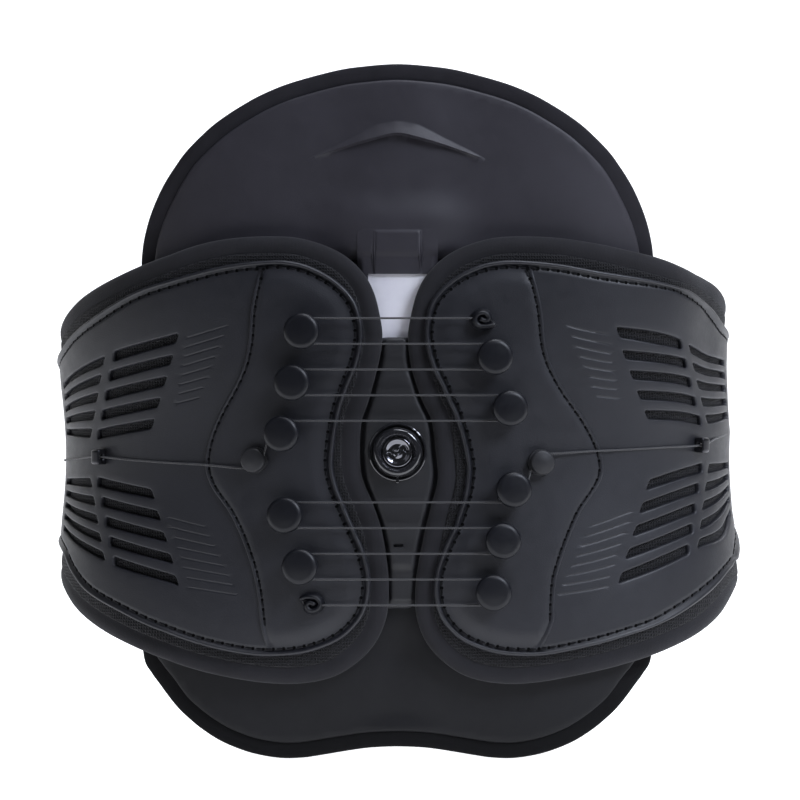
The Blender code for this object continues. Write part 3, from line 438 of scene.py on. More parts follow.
def skin(name, outline, finishes, top, bottom, rings=(), lines=(), holes=(), gap=3.0, side=1,
         lift=None, band=0.0, place=None, hole_rings=(), move=as_is):
    """A closed sheet on the waist, or on the plane of place. top and bottom give d from (u, z, rim, hole).

    rim and hole are the distances to the outline and to the nearest hole. rings are distances inside
    the outline where the profile bends, and lines are creases. Faces within band of the outline take
    the second finish.
    """
    def on_sheet(points):
        found = inside(points, outline)
        for loop in holes:
            found &= ~inside(points, loop)
        return found

    stacks, edges, count = [], [], 0
    for line in (outline, *holes, *lines):
        closed = len(stacks) <= len(holes)
        stacks.append(np.asarray(line, float))
        edges += [(count + i, count + (i + 1) % len(line)) for i in range(len(line) - (not closed))]
        count += len(line)
    extra = [offset(outline, r) for r in rings] + [offset(hole, -r) for hole in holes for r in hole_rings]
    low, high = outline.min(0), outline.max(0)
    rows = int((high[1] - low[1]) / (gap * 0.866)) + 1
    grid = np.array([(low[0] + gap * (i + 0.5 * (j % 2)), low[1] + gap * 0.866 * j)
                     for j in range(rows + 1) for i in range(int((high[0] - low[0]) / gap) + 2)])
    grid = grid[inside(grid, outline)]
    grid = grid[distance_to(grid, [outline]) > max(rings, default=0) + 0.45 * gap]
    grid = grid[distance_to(grid, holes) > max(hole_rings, default=0) + 0.45 * gap]
    grid = grid[distance_to(grid, lines, closed=False) > 0.4 * gap]
    extra = np.concatenate([*extra, grid])
    flat = np.concatenate([*stacks, extra[on_sheet(extra)]])
    found = delaunay_2d_cdt([Vector(p) for p in flat], edges, [], 0, 1e-5)
    flat = np.array([tuple(v) for v in found[0]])
    faces = np.array(found[2])
    faces = faces[on_sheet(flat[faces].mean(1))]
    a, b, c = (flat[faces[:, k]] for k in range(3))
    area = (b[:, 0] - a[:, 0]) * (c[:, 1] - a[:, 1]) - (b[:, 1] - a[:, 1]) * (c[:, 0] - a[:, 0])
    faces = faces[np.abs(area) > 1e-7]
    area = area[np.abs(area) > 1e-7]
    faces[area < 0] = faces[area < 0][:, ::-1]
    used, faces = np.unique(faces, return_inverse=True)
    faces = faces.reshape(-1, 3)
    flat = flat[used]
    rim = distance_to(flat, [outline])
    hole = distance_to(flat, holes)
    u, z = flat[:, 0], flat[:, 1]
    raised = lift(u) if lift else 0

    def in_space(surface):
        d = np.broadcast_to(surface(u, z, rim, hole), u.shape) + raised
        if place is None:
            moved = move(u, z, d)
            return wrap(side * moved[0], *moved[1:])
        return np.stack([side * u, z, d], 1) * MM @ np.array(place.to_3x3()).T + np.array(place.translation)
    n = len(flat)
    seen = {}
    for f in faces:
        for i, j in ((f[0], f[1]), (f[1], f[2]), (f[2], f[0])):
            seen[(i, j)] = (j, i) in seen
            if (j, i) in seen:
                seen[(j, i)] = True
    walls = [(i, i + n, j + n, j) for (i, j), shared in seen.items() if not shared]
    all_faces = [tuple(f) for f in faces] + [tuple(f[::-1] + n) for f in faces] + walls
    if side < 0:
        all_faces = [f[::-1] for f in all_faces]
    groups = None
    if band:
        middle_rim = rim[faces].mean(1) < band
        groups = np.concatenate([middle_rim, middle_rim, np.ones(len(walls))]).astype(int)
    uv = np.concatenate([flat, flat + (0, 500)]) * MM
    edge = np.exp(-np.minimum(rim, hole) / 0.9)
    return finish_mesh(name, np.concatenate([in_space(top), in_space(bottom)]), all_faces, finishes, uv,
                       groups, np.concatenate([edge, edge]))


def tubes(name, paths, radius, finishes, sides=8, sharp=60, first=None):
    """Round tubes along paths of points in metres. radius is in millimetres, or a function of 0..1.

    Paths from number first on are stitch holes, near-black plugs of painted shade, in the second finish.
    """
    points, faces, uv, groups = [], [], [], []
    for number, path in enumerate(paths):
        path = np.asarray(path, float)
        count, second = len(path), first is not None and number >= first
        along = np.gradient(path, axis=0)
        along /= np.maximum(np.linalg.norm(along, axis=1, keepdims=True), 1e-12)
        lengths = lengths_along(path)
        normal = Vector(along[0]).orthogonal().normalized()
        start = len(points)
        for k in range(count):
            tangent = Vector(along[k])
            normal = (normal - tangent * normal.dot(tangent)).normalized()
            across = tangent.cross(normal)
            size = (radius(k / (count - 1)) if callable(radius) else radius) * MM
            if second:
                size = HOLE_RADIUS * MM
            for s in range(sides):
                angle = math.tau * s / sides
                points.append(Vector(path[k]) + (normal * math.cos(angle) + across * math.sin(angle)) * size)
                uv.append((lengths[k], s / sides * math.tau * size))
        for k in range(count - 1):
            for s in range(sides):
                a, b = start + k * sides + s, start + k * sides + (s + 1) % sides
                faces.append((a, b, b + sides, a + sides))
        faces.append(tuple(start + s for s in reversed(range(sides))))
        faces.append(tuple(start + (count - 1) * sides + s for s in range(sides)))
        groups += [int(second)] * (len(faces) - len(groups))
    return finish_mesh(name, points, faces, finishes, uv, groups, sharp=sharp)


def stitches(name, rows, pitch=4.4, radius=0.36, side=1, lift=None, move=as_is):
    """Thread along rows, each a (points, d) with d a depth or a function of (u, z), and holes between:
    near-black plugs of painted shade.
    """
    threads, holes = [], []
    for row, depth in rows:
        row = resampled(row, 0.4)
        size = lengths_along(row)
        for number in range(int(size[-1] / pitch)):
            at = (number + np.linspace(0.12, 0.88, 6)) * pitch
            u, z = (np.interp(at, size, row[:, k]) for k in range(2))
            d = np.full(6, depth(u, z) if callable(depth) else depth) + (lift(u) if lift else 0)
            u, z, d = move(u, z, d)
            threads.append(wrap(side * u, z, d + (-0.5, -0.1, 0.1, 0.1, -0.1, -0.5)))
            # A short near-black plug at each needle hole: painted shade in the hole.
            holes.append(wrap(side * u[0], z[0], d[0] + np.array((-0.7, -0.2, 0.12))))
    return tubes(name, threads + holes, lambda t: radius * (0.75 + 0.35 * math.sin(math.pi * t)),
                 ("thread", "hole"), first=len(threads))


def lathe(name, profile, place, finish, steps, sharp=40):
    """A solid turned from (radius, height) points in millimetres about the Z axis of place."""
    points, faces, rings = [], [], []
    for radius, height in profile:
        if radius < 1e-6:
            rings.append([len(points)])
            points.append(place @ Vector((0, 0, height * MM)))
        else:
            rings.append(list(range(len(points), len(points) + steps)))
            for s in range(steps):
                angle = math.tau * s / steps
                points.append(place @ Vector((radius * MM * math.cos(angle),
                                              radius * MM * math.sin(angle), height * MM)))
    if profile[0] == profile[-1]:
        rings[-1] = rings[0]
    for a, b in zip(rings, rings[1:]):
        for s in range(steps):
            t = (s + 1) % steps
            if len(a) == len(b) == 1:
                continue
            if len(a) == 1:
                faces.append((a[0], b[s], b[t])[::-1])
            elif len(b) == 1:
                faces.append((a[s], a[t], b[0]))
            else:
                faces.append((a[s], a[t], b[t], b[s]))
    used = sorted({i for f in faces for i in f})
    new = {old: i for i, old in enumerate(used)}
    return finish_mesh(name, [points[i] for i in used], [[new[i] for i in f] for f in faces], finish,
                       sharp=sharp)


def bead(start, end, count):
    """Profile points of a quarter round from start to end, turning from the radial to the axial way."""
    (r0, h0), (r1, h1) = start, end
    return [(r0 + (r1 - r0) * (1 - math.cos(a)), h0 + (h1 - h0) * math.sin(a))
            for a in (math.pi / 2 * k / count for k in range(count + 1))]


# Finishes


class Nodes:
    """Builds one material's node tree."""

    def __init__(self, name):
        self.material = bpy.data.materials.new(name)
        self.material.use_nodes = True
        self.tree = self.material.node_tree
        self.shader = self.tree.nodes["Principled BSDF"]

    def add(self, kind, **settings):
        node = self.tree.nodes.new(kind)
        inputs = settings.pop("inputs", {})
        for key, value in settings.items():
            setattr(node, key, value)
        for key, value in inputs.items():
            if isinstance(value, bpy.types.NodeSocket):
                self.tree.links.new(value, node.inputs[key])
            else:
                node.inputs[key].default_value = value
        return node

    def link(self, a, b):
        self.tree.links.new(a, b)

    def place(self, scale, surface):
        """Texture coordinates in units of 1/scale metres: on the surface's own map, or in space."""
        coordinates = self.add("ShaderNodeTexCoord")
        mapping = self.add("ShaderNodeMapping", inputs={
            "Vector": coordinates.outputs["UV" if surface else "Object"]})
        mapping.inputs["Scale"].default_value = (scale,) * 3 if isinstance(scale, (int, float)) else scale
        return mapping.outputs["Vector"]

    def noise(self, vector, scale, detail=3, roughness=0.55):
        return self.add("ShaderNodeTexNoise", inputs={
            "Vector": vector, "Scale": scale, "Detail": detail, "Roughness": roughness}).outputs["Fac"]

    def math(self, operation, a, b=0.0, c=0.0):
        return self.add("ShaderNodeMath", operation=operation, inputs={0: a, 1: b, 2: c}).outputs[0]

    def plus(self, value, other, share):
        """The value with a share of another one added."""
        return self.math("ADD", value, self.math("MULTIPLY", other, share))

    def ripple(self, angle):
        """0 to 1 and back over each half turn."""
        return self.math("ABSOLUTE", self.math("SINE", angle))

    def spread(self, value, low, high, from_low=0.0, from_high=1.0):
        return self.add("ShaderNodeMapRange", inputs={
            "Value": value, "From Min": from_low, "From Max": from_high, "To Min": low,
            "To Max": high}).outputs["Result"]

    def colour(self, factor, first, second):
        mixed = self.add("ShaderNodeMix", data_type="RGBA")
        self.link(factor, mixed.inputs["Factor"])
        mixed.inputs["A"].default_value = (*first, 1)
        mixed.inputs["B"].default_value = (*second, 1)
        return mixed.outputs["Result"]

    def bump(self, height, distance):
        return self.add("ShaderNodeBump", inputs={"Height": height, "Distance": distance}).outputs["Normal"]

    def done(self, colour, roughness, normal, **sockets):
        self.link(colour, self.shader.inputs["Base Color"])
        self.link(roughness, self.shader.inputs["Roughness"])
        self.link(normal, self.shader.inputs["Normal"])
        for key, value in sockets.items():
            self.shader.inputs[key.replace("_", " ")].default_value = value
        return self.material


def shade(colour, factor):
    return tuple(min(c * factor, 1) for c in colour)


def moulded(name, colour, roughness, grain, cell, surface=True, **sockets):
    """Moulded plastic or leatherette: fine pebble grain, slow colour drift and paler worn edges."""
    n = Nodes(name)
    at = n.place(1000, surface)
    cells = n.add("ShaderNodeTexVoronoi", inputs={"Vector": at, "Scale": 1 / cell}).outputs["Distance"]
    fine = n.noise(at, 5.0, 2)
    slow = n.noise(at, 0.035, 4)
    smudge = n.noise(at, 0.16, 5, 0.65)
    edge = n.add("ShaderNodeAttribute", attribute_name="edge").outputs["Fac"]
    worn = n.math("MULTIPLY", edge, n.spread(smudge, 0.0, 1.0, 0.42, 0.66))
    drift = n.plus(n.spread(slow, 0.0, 0.55, 0.3, 0.7), worn, 0.9)
    height = n.plus(n.math("MULTIPLY", cells, 0.8), fine, 0.4)
    rough = n.plus(n.spread(smudge, roughness - 0.05, roughness + 0.06, 0.3, 0.7), cells, 0.05)
    return n.done(n.colour(drift, shade(colour, 0.86), shade(colour, 1.35)), rough,
                  n.bump(height, grain * MM), **sockets)


def knitted(name, colour, pitch=0.8, depth=0.12, surface=True, fuzz=0.5, **sockets):
    """Fine jersey knit: columns of stitches with a soft uneven nap."""
    n = Nodes(name)
    at = n.place(1000 / pitch, surface)
    wobble = n.noise(at, 0.5, 2)
    shifted = n.add("ShaderNodeVectorMath", operation="MULTIPLY_ADD")
    n.link(wobble, shifted.inputs[0])
    shifted.inputs[1].default_value = (0.35, 0.35, 0.35)
    n.link(at, shifted.inputs[2])
    split = n.add("ShaderNodeSeparateXYZ", inputs={0: shifted.outputs[0]})
    across, up = split.outputs["X"], split.outputs["Y"]
    column = n.ripple(n.math("MULTIPLY", across, math.pi))
    lean = n.math("ADD", n.math("MULTIPLY", up, 1.3), n.math("MULTIPLY", column, 0.55))
    row = n.ripple(n.math("MULTIPLY", lean, math.pi))
    knit = n.math("MULTIPLY", n.math("POWER", column, 0.6), n.math("POWER", row, 0.7))
    nap = n.noise(n.place(1000, surface), 3.5, 3, 0.7)
    slow = n.noise(n.place(1000, surface), 0.06, 3)
    height = n.plus(knit, nap, fuzz)
    # The tone follows the knit's relief, darker where it sinks: painted shade between the loops, plus a slow
    # tone that differs at random.
    tone = n.math("ADD", n.math("MULTIPLY", knit, 0.55), n.spread(slow, 0.0, 0.45, 0.3, 0.7))
    return n.done(n.colour(tone, shade(colour, 0.55), shade(colour, 1.45)),
                  n.spread(nap, 0.78, 0.95, 0.3, 0.7), n.bump(height, depth * MM), **sockets)


def spacer_mesh(name, colour, pitch=1.15):
    """Warp-knit spacer mesh: staggered holes with ribs round them."""
    n = Nodes(name)
    at = n.place((1000 / pitch, 1000 / (pitch * 1.25), 1), True)
    ribs = n.add("ShaderNodeTexVoronoi", feature="DISTANCE_TO_EDGE",
                 inputs={"Vector": at, "Scale": 1.0, "Randomness": 0.25}).outputs["Distance"]
    hole = n.spread(ribs, 1.0, 0.0, 0.10, 0.30)
    thread = n.noise(n.place(1000, True), 4.0, 2, 0.7)
    slow = n.noise(n.place(1000, True), 0.08, 3)
    height = n.plus(hole, thread, 0.3)
    # The holes are coloured far darker than the ribs round them: painted shade inside the holes.
    tone = n.math("MULTIPLY", hole, n.spread(slow, 0.6, 1.0, 0.3, 0.7))
    return n.done(n.colour(tone, shade(colour, 0.18), shade(colour, 1.6)), n.spread(thread, 0.7, 0.95),
                  n.bump(height, 0.55 * MM), Sheen_Weight=0.05, Specular_IOR_Level=0.3)


def gloss(name, colour, roughness, metallic=0.0, **sockets):
    """Polished plastic or metal with faint haze, fine scratches and a little moulding flow."""
    n = Nodes(name)
    at = n.place(1000, False)
    haze = n.noise(at, 0.5, 4, 0.6)
    scratches = n.noise(n.place((300, 5200, 2600), False), 1.0, 2)
    flow = n.noise(at, 0.22, 2)
    rough = n.math("ADD", n.spread(haze, roughness * 0.92, roughness * 1.12, 0.3, 0.7),
                   n.spread(scratches, 0.0, 0.03, 0.62, 0.8))
    return n.done(n.colour(n.spread(flow, 0, 1, 0.3, 0.7), shade(colour, 0.94), shade(colour, 1.08)), rough,
                  n.bump(n.plus(haze, scratches, 0.3), 0.004 * MM),
                  Metallic=metallic, **sockets)


def braided(name, colour, pitch=1.1, sheen=0.2, **sockets):
    """Round braided cord: two sets of strands that cross."""
    n = Nodes(name)
    split = n.add("ShaderNodeSeparateXYZ", inputs={0: n.place(1000 / pitch, True)})
    along = n.math("MULTIPLY", split.outputs["X"], math.pi)
    around = n.math("MULTIPLY", split.outputs["Y"], math.pi * 1.17)
    one = n.ripple(n.math("ADD", along, around))
    two = n.ripple(n.math("SUBTRACT", along, around))
    strands = n.math("MAXIMUM", one, two)
    fibre = n.noise(n.place(1000, True), 6.0, 2, 0.7)
    height = n.plus(strands, fibre, 0.3)
    # The colour follows the strands' relief, darker in the grooves between them: painted shade.
    return n.done(n.colour(strands, shade(colour, 0.5), shade(colour, 1.25)),
                  n.spread(fibre, 0.5, 0.75), n.bump(height, 0.14 * MM), Sheen_Weight=sheen, **sockets)


def napped(name, colour, size, depth):
    """Hook or loop tape: a dense random pile."""
    n = Nodes(name)
    at = n.place(1000, True)
    pile = n.add("ShaderNodeTexVoronoi", inputs={"Vector": at, "Scale": 1 / size}).outputs["Distance"]
    fuzz = n.noise(at, 2.2 / size, 4, 0.75)
    up = n.add("ShaderNodeSeparateXYZ", inputs={0: at}).outputs["Y"]
    rows = n.ripple(n.math("MULTIPLY", up, math.pi / (size * 3)))
    height = n.math("ADD", n.math("MULTIPLY", pile, -1.0), n.plus(fuzz, rows, 0.3))
    return n.done(n.colour(fuzz, shade(colour, 0.5), shade(colour, 1.7)), n.spread(fuzz, 0.8, 1.0),
                  n.bump(height, depth * MM), Sheen_Weight=0.3)


FINISH = {
    "shell": moulded("shell_leatherette", (0.0105, 0.0108, 0.0145), 0.46, 0.045, 0.42,
                     Specular_IOR_Level=0.45),
    # The plates and their fabric rims are one plastic and one knit, each in two copies: the upper plate and
    # rim lighter, as painted light from above, and the lower ones darker, as painted shade.
    "plate": moulded("back_plate_plastic", (0.0255, 0.0235, 0.0300), 0.5, 0.03, 0.25, Specular_IOR_Level=0.4),
    "shaded_plate": moulded("plate_plastic_painted_shade", (0.0048, 0.0048, 0.0060), 0.54, 0.03, 0.25,
                         Specular_IOR_Level=0.25),
    "housing": moulded("housing_plastic", (0.0135, 0.0135, 0.0155), 0.48, 0.03, 0.25, Specular_IOR_Level=0.4),
    "handle": moulded("handle_plastic", (0.012, 0.012, 0.014), 0.42, 0.04, 0.3),
    "rim": knitted("plate_rim_knit", (0.0140, 0.0130, 0.0165), 0.55, 0.05, fuzz=0.3, Specular_IOR_Level=0.25),
    "shaded_rim": knitted("rim_knit_painted_shade", (0.0014, 0.0014, 0.0019), 0.55, 0.05, fuzz=0.3,
                       Specular_IOR_Level=0.2),
    "binding": knitted("pad_binding_knit", (0.0108, 0.0104, 0.0130), 0.6, 0.08, fuzz=0.35,
                       Sheen_Weight=0.08, Specular_IOR_Level=0.3),
    "liner": knitted("liner_knit", (0.010, 0.010, 0.012), 1.1, 0.16, Sheen_Weight=0.25),
    "wing": knitted("wing_knit", (0.011, 0.011, 0.013), 0.9, 0.14, Sheen_Weight=0.25),
    "mesh": spacer_mesh("spacer_mesh", (0.0065, 0.0063, 0.0080)),
    "thread": braided("seam_thread", (0.0036, 0.0036, 0.0046), 0.7, 0.02, Specular_IOR_Level=0.12),
    "cord": braided("lacing_cord", (0.024, 0.0235, 0.025)),
    "cap": gloss("cap_gloss", (0.0042, 0.0045, 0.0068), 0.4, Specular_IOR_Level=0.32),
    "dial": gloss("dial_gloss", (0.012, 0.012, 0.014), 0.1, Coat_Weight=0.8, Coat_Roughness=0.04),
    "chrome": gloss("dial_chrome", (0.16, 0.16, 0.175), 0.14, 1.0),
    "piping": moulded("shell_piping", (0.0098, 0.0100, 0.0135), 0.42, 0.02, 0.42, Specular_IOR_Level=0.5),
    # Near-black colour for the plugs in the stitch holes: painted shade.
    "hole": moulded("stitch_hole_painted_shade", (0.0006, 0.0006, 0.0007), 0.95, 0.03, 0.3, Specular_IOR_Level=0.1),
    "steel": gloss("eyelet_metal", (0.030, 0.030, 0.034), 0.3, 0.8),
    "nylon": moulded("sheave_nylon", (0.014, 0.014, 0.016), 0.5, 0.03, 0.3, surface=False),
    "rail": moulded("rail_matte", (0.80, 0.78, 0.86), 0.5, 0.03, 0.4, Specular_IOR_Level=0.35),
    "loop": napped("loop_tape", (0.016, 0.016, 0.018), 0.5, 0.5),
    "hook": napped("hook_tape", (0.012, 0.012, 0.013), 0.8, 0.7),
}


def keep(piece, body=None, replaces=True):
    """Rides the piece on its body, in place of the CAD node of its name."""
    if replaces:
        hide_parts(piece.name.split(".")[0])
    if body:
        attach(piece, body)


# Back plates, liners and the spine


def plate_profile(rim, band):
    """The fabric rim lies lower, and the moulded face rises from it over a rounded edge."""
    fabric = 5.3 + 1.2 * quarter_round(rim, 2.6) - 0.35 * smooth((rim - band + 1.2) / 1.2)
    face = FABRIC_TOP + (PLATE_TOP - FABRIC_TOP) * quarter_round(rim - band, 1.5)
    return np.where(rim < band, fabric, face)


def hump(u, z):
    """The swelling of the upper plate over the rail's head."""
    return 3.3 * np.exp(-(np.abs(u) / 29) ** 4) * smooth((127 - z) / 17) * smooth((z - 86) / 12)


def upper_plate_top(u, z, rim, hole):
    """The shield with the chevron, a facet that rises to its foot and drops short into a dip."""
    crest, foot = table_at(CHEVRON_TOP, u), table_at(CHEVRON_FOOT, u)
    tall = 2.7 * np.clip((crest - foot) / 4.5, 0, 1)
    facet = np.clip((crest - z) / np.maximum(crest - foot, 0.05), 0, 1)
    below = np.clip(foot - z, 0, 1)
    mark = tall * facet * (1 - below) - 0.36 * tall * below * np.exp(-np.maximum(foot - z - 1.0, 0) / 4)
    face = rim - UPPER_BAND
    shaped = mark + hump(u, z) * smooth(face / 6) + 0.5 * smooth(face / 30)
    sunk = np.where((np.abs(u) < SLEEVE_HALF) & (z < SLEEVE_Z), hump(u, z) + 0.6, 0)
    return plate_profile(rim, UPPER_BAND) + np.where(face > 0, shaped, 0) - sunk


def lower_plate_top(u, z, rim, hole):
    """The lower plate with a shallow valley down its middle."""
    face = rim - LOWER_BAND
    valley = 1.7 * np.exp(-(u / (11 + 0.16 * np.maximum(-92 - z, 0))) ** 2) * smooth((-72 - z) / 22)
    crown = 0.6 * smooth(face / 30) * smooth((-80 - z) / 20)
    return plate_profile(rim, LOWER_BAND) + np.where(face > 0, (crown - valley) * smooth(face / 9), 0)


def build_plates():
    crest, foot = (resampled(line, 1.5) for line in (CHEVRON_TOP, CHEVRON_FOOT))
    creases = [crest, foot, foot[3:-3] - (0, 1.0), foot[7:-7] - (0, 3.0), crest[3:-3] - (0, 0.6),
               crest[1:-1] + (0, 0.6)]
    corners = [(SLEEVE_HALF + step, SLEEVE_Z + step) for step in (-0.2, 0.2)]
    sunk_sides = [resampled([(-w, 85.5), (-w, z)], 2) for w, z in corners]
    creases += sunk_sides + [line * (-1, 1) for line in sunk_sides]
    creases += [resampled([(-w, z), (w, z)], 2)[1:-1] for w, z in corners]
    # The lower plate and its rim take the darker copies of the finishes: painted shade.
    for name, half, top, band, lines, finishes in (
            ("upper", UPPER_RIM_HALF, upper_plate_top, UPPER_BAND, creases, ("plate", "rim")),
            ("lower", LOWER_RIM_HALF, lower_plate_top, LOWER_BAND, [], ("shaded_plate", "shaded_rim"))):
        outline = offset(resampled(whole(half), 1.8, closed=True), 0.25)
        rings = (0.5, 1.1, 2.2, 4.4, *(band + step for step in (0, 0.25, 0.6, 1.3)))
        made = skin(f"{name}_back_plate", outline, finishes, top,
                    level(PLATE_BOTTOM), rings, lines, gap=2.6, band=band)
        body = f"{name}_support"
        keep(made, body)
        build_liner(name, outline, body)


def build_liner(name, outline, body):
    """The foam liner under a plate, quilted on its inner face."""
    edge = offset(outline, -0.25)

    def inner_face(u, z, rim, hole):
        channels = np.minimum(np.abs((u + 19) % 38 - 19), np.abs((z + 21) % 42 - 21))
        quilt = 0.9 * (1 - quarter_round(channels, 7.0)) * smooth((rim - 6) / 5)
        edge_roll = 2.1 * (1 - quarter_round(rim, 3.4)) + 0.5 * np.exp(-((rim - 6) / 0.9) ** 2)
        return 0.1 + quilt + edge_roll

    made = skin(f"{name}_liner", edge, "liner", level(2.6, 2.45, 2.0), inner_face,
                rings=(0.5, 1.2, 2.2, 3.4, 5.1, 6.0, 6.9), gap=2.4)
    keep(made, body)


def housing_top(ridge):
    """The height of the housing: its shoulders, the ridge with two steps, the bezel's seat and the slot."""
    def height(u, z, rim, hole):
        edge = away(u, z, [ridge], closed=True)
        within = inside(np.stack([u, z], 1), ridge)
        rise = np.where(within, 0.25 + 0.75 * quarter_round(edge, 1.5), 0.25 * smooth(1 - edge / 0.9))
        steps = 0.3 * (smooth((52.6 - z) / 0.7) + smooth((39.4 - z) / 0.7)) - 0.6
        shoulders = 9.0 + (HOUSING_TOP - 9.0) * quarter_round(rim, 2.0)
        body = shoulders + (RIDGE_TOP - HOUSING_TOP) * rise + np.where(z > 38, steps, 0) * rise
        centre = np.hypot(u, z - DIAL_Z)
        body = np.where(centre < DIAL_SEAT, 13.2, body)
        body = np.where((centre >= DIAL_SEAT) & (centre < 14.6),
                        np.maximum(body, RIDGE_TOP - 0.4 * (centre - DIAL_SEAT) / 2.3), body)
        tail = 1.7 * smooth((-48.5 - z) / 2.5) * within * quarter_round(edge, 1.5)
        slot = smooth((2.2 - np.abs(u - 0.4)) / 0.3) * smooth((0.75 - np.abs(z + 39.6)) / 0.3)
        return body - tail - 1.6 * slot
    return height


def build_spine():
    outline = loop_of(HOUSING_CORNERS, (HOUSING_CORNERS[1], HOUSING_FOOT[0]), HOUSING_FOOT,
                      (HOUSING_FOOT[-1], HOUSING_CORNERS[0]), gap=1.5)
    ridge = resampled(RIDGE, 1.2, closed=True)
    loops = [circle((0, DIAL_Z), DIAL_SEAT + step, 72) for step in (-0.02, 0.02)]
    loops += [rounded_box((0.4, -39.6), half, 0.5, 0.5) for half in ((1.9, 0.45), (2.2, 0.75))]
    loops += [ridge, offset(ridge, 0.5), offset(ridge, 1.5)]
    made = skin("spine_housing", outline, "housing", housing_top(ridge),
                lambda u, z, rim, hole: 8.1 + 2.0 * smooth((rim - 2.2) / 0.6), gap=1.3,
                lines=[np.concatenate([loop, loop[:1]]) for loop in loops], rings=(0.3, 0.8, 1.3, 2.0))
    keep(made, "lower_support")

    def rail_top(u, z, rim, hole):
        ribs = 0.16 * (np.abs((z % 5.0) - 2.5) < 0.45) * (np.abs(u) > 9.5) * (np.abs(u) < 13.4)
        return 8.9 + 0.75 * quarter_round(np.minimum(rim, hole), 0.7) - ribs
    rail = skin("height_rail", rounded_box((0, 38.5), (15.0, 64.5), 2.0), "rail", rail_top,
                level(8.5, -0.4, 0.5), holes=[rounded_box((0, 4.5), (2.6, 24.5), 2.5, 0.8)],
                rings=(0.15, 0.35, 0.7), hole_rings=(0.2, 0.6), gap=1.1)
    keep(rail, "upper_support")

    def sleeve_top(u, z, rim, hole):
        plate = PLATE_TOP + 0.35 + hump(u, z)
        over = plate + np.maximum(10.5 - plate, 0) * smooth((18.2 - np.abs(u)) / 2.8)
        return over + 0.55 * smooth((10.9 - np.abs(u)) / 0.9) * smooth((106.4 - z) / 0.8)

    def sleeve_bottom(u, z, rim, hole):
        return 8.1 + 1.7 * smooth((15.8 - np.abs(u)) / 0.4) * smooth(104.5 - z)
    sleeve = skin("rail_sleeve", rounded_box((0, 96.5), (18.0, 10.5), 3.0, 0.9), "plate", sleeve_top,
                  sleeve_bottom, rings=(0.4, 0.9, 1.6, 2.4), gap=1.0,
                  lines=[[(s * w, 86.6), (s * w, 106.2)] for s in (-1, 1) for w in (10.0, 10.9)])
    keep(sleeve, "upper_support")
    for sign in (-1, 1):
        tab = skin(f"sleeve_tab_{sign}", rounded_box((sign * 14.3, 84.8), (1.2, 1.9), 0.5, 0.4),
                   "plate", level(9.9, 0.5, 0.4), level(9.75), rings=(0.2, 0.4), gap=0.6)
        keep(tab, "upper_support", replaces=False)


def build_dial():
    place = local_frame(0, DIAL_Z, 0)
    foot = 13.7
    r, c = DIAL_RADIUS, CORE_RADIUS
    ring = lathe("lock_dial", [
        (0, 8.4), (2.0, 8.4), (2.0, foot), (r - 0.5, foot), (r, foot + 0.5), (r, foot + 4.6),
        (r - 0.15, foot + 4.9), *bead((r - 0.15, foot + 4.9), (r - 2.2, foot + 7.6), 8),
        (r - 2.9, foot + 7.55),
        (c + 0.9, foot + 6.7), (c + 0.45, foot + 6.2), (c + 0.3, foot + 5.1), (0, foot + 5.1),
    ], place, "dial", 96, 32)
    keep(ring, "lock_dial")
    # The core is dished, with two hooked recesses that turn round its middle.
    hook = resampled([(0.6 + 3.4 * t, 2.3 * math.sin(2.6 * t)) for t in np.linspace(0, 1, 9)], 0.5)

    def core_top(u, z, rim, hole):
        dish = foot + 6.3 + 0.55 * quarter_round(rim, 0.8) - 1.0 * smooth((rim - 0.9) / 2.4) \
            + 0.5 * smooth((3.2 - np.hypot(u, z)) / 2.0)
        return dish - 0.8 * smooth((1.15 - away(u, z, [hook, -hook])) / 0.45)
    core = skin("dial_core", circle((0, 0), c, 72), "chrome", core_top, level(foot + 5.3),
                rings=(0.2, 0.5, 0.8), gap=0.32, place=place)
    keep(core, "lock_dial")
    bezel = lathe("dial_bezel", [
        (r + 0.8, 14.6), (r + 0.8, 15.6), (r + 1.0, 15.85), (r + 1.4, 15.95), (r + 1.8, 15.75),
        (r + 2.1, 15.2), (r + 2.1, 14.6), (r + 0.8, 14.6),
    ], place, "dial", 96, 32)
    keep(bezel, "lower_support")
    mark = skin("dial_bezel_notch", rounded_box((0, 0), (0.8, 1.5), 0.3, 0.4), "dial",
                level(15.4, 0.75, 0.4), level(15.0), rings=(0.15, 0.4), gap=0.5,
                place=Matrix.Translation((0, 0, -(r + 1.45) * MM)) @ place)
    keep(mark, "lower_support", replaces=False)


# Back panels


def slot_outlines():
    """Every ventilation slot of a shell: each column and its mirror image below the waist line."""
    found = []
    for inner, outer, inner_step, outer_step, heights in SLOT_COLUMNS:
        slants = inner_step[0] / inner_step[1] * 1.3, outer_step[0] / outer_step[1] / 4
        for row in range(5):
            a = np.array(inner) + row * np.array(inner_step)
            b = np.array(outer) + row * np.array(outer_step)
            low, high = (np.array((slant, 1)) * height / 2 for slant, height in zip(slants, heights))
            corners = [a - low, b - high, b + high, a + low]
            loop = []
            for k in range(4):
                p, q, r = corners[k - 1], corners[k], corners[(k + 1) % 4]
                first = q + (p - q) / np.linalg.norm(p - q) * 0.9
                last = q + (r - q) / np.linalg.norm(r - q) * 0.9
                loop += [first, (first + last + 2 * q) / 4, last]
            loop = divided(np.array(loop), 1.6)
            found += [loop, loop * (1, -1)]
    return found


def groove_lines():
    """The fine grooves beside the slots, evenly spaced from the first to the last."""
    found = []
    for first, last in GROOVES:
        for k in range(8):
            t = k / 7
            ends = [(1 - t) * np.array(first[e]) + t * np.array(last[e]) for e in (0, 1)]
            found.append(resampled(ends, 1.5))
    return found


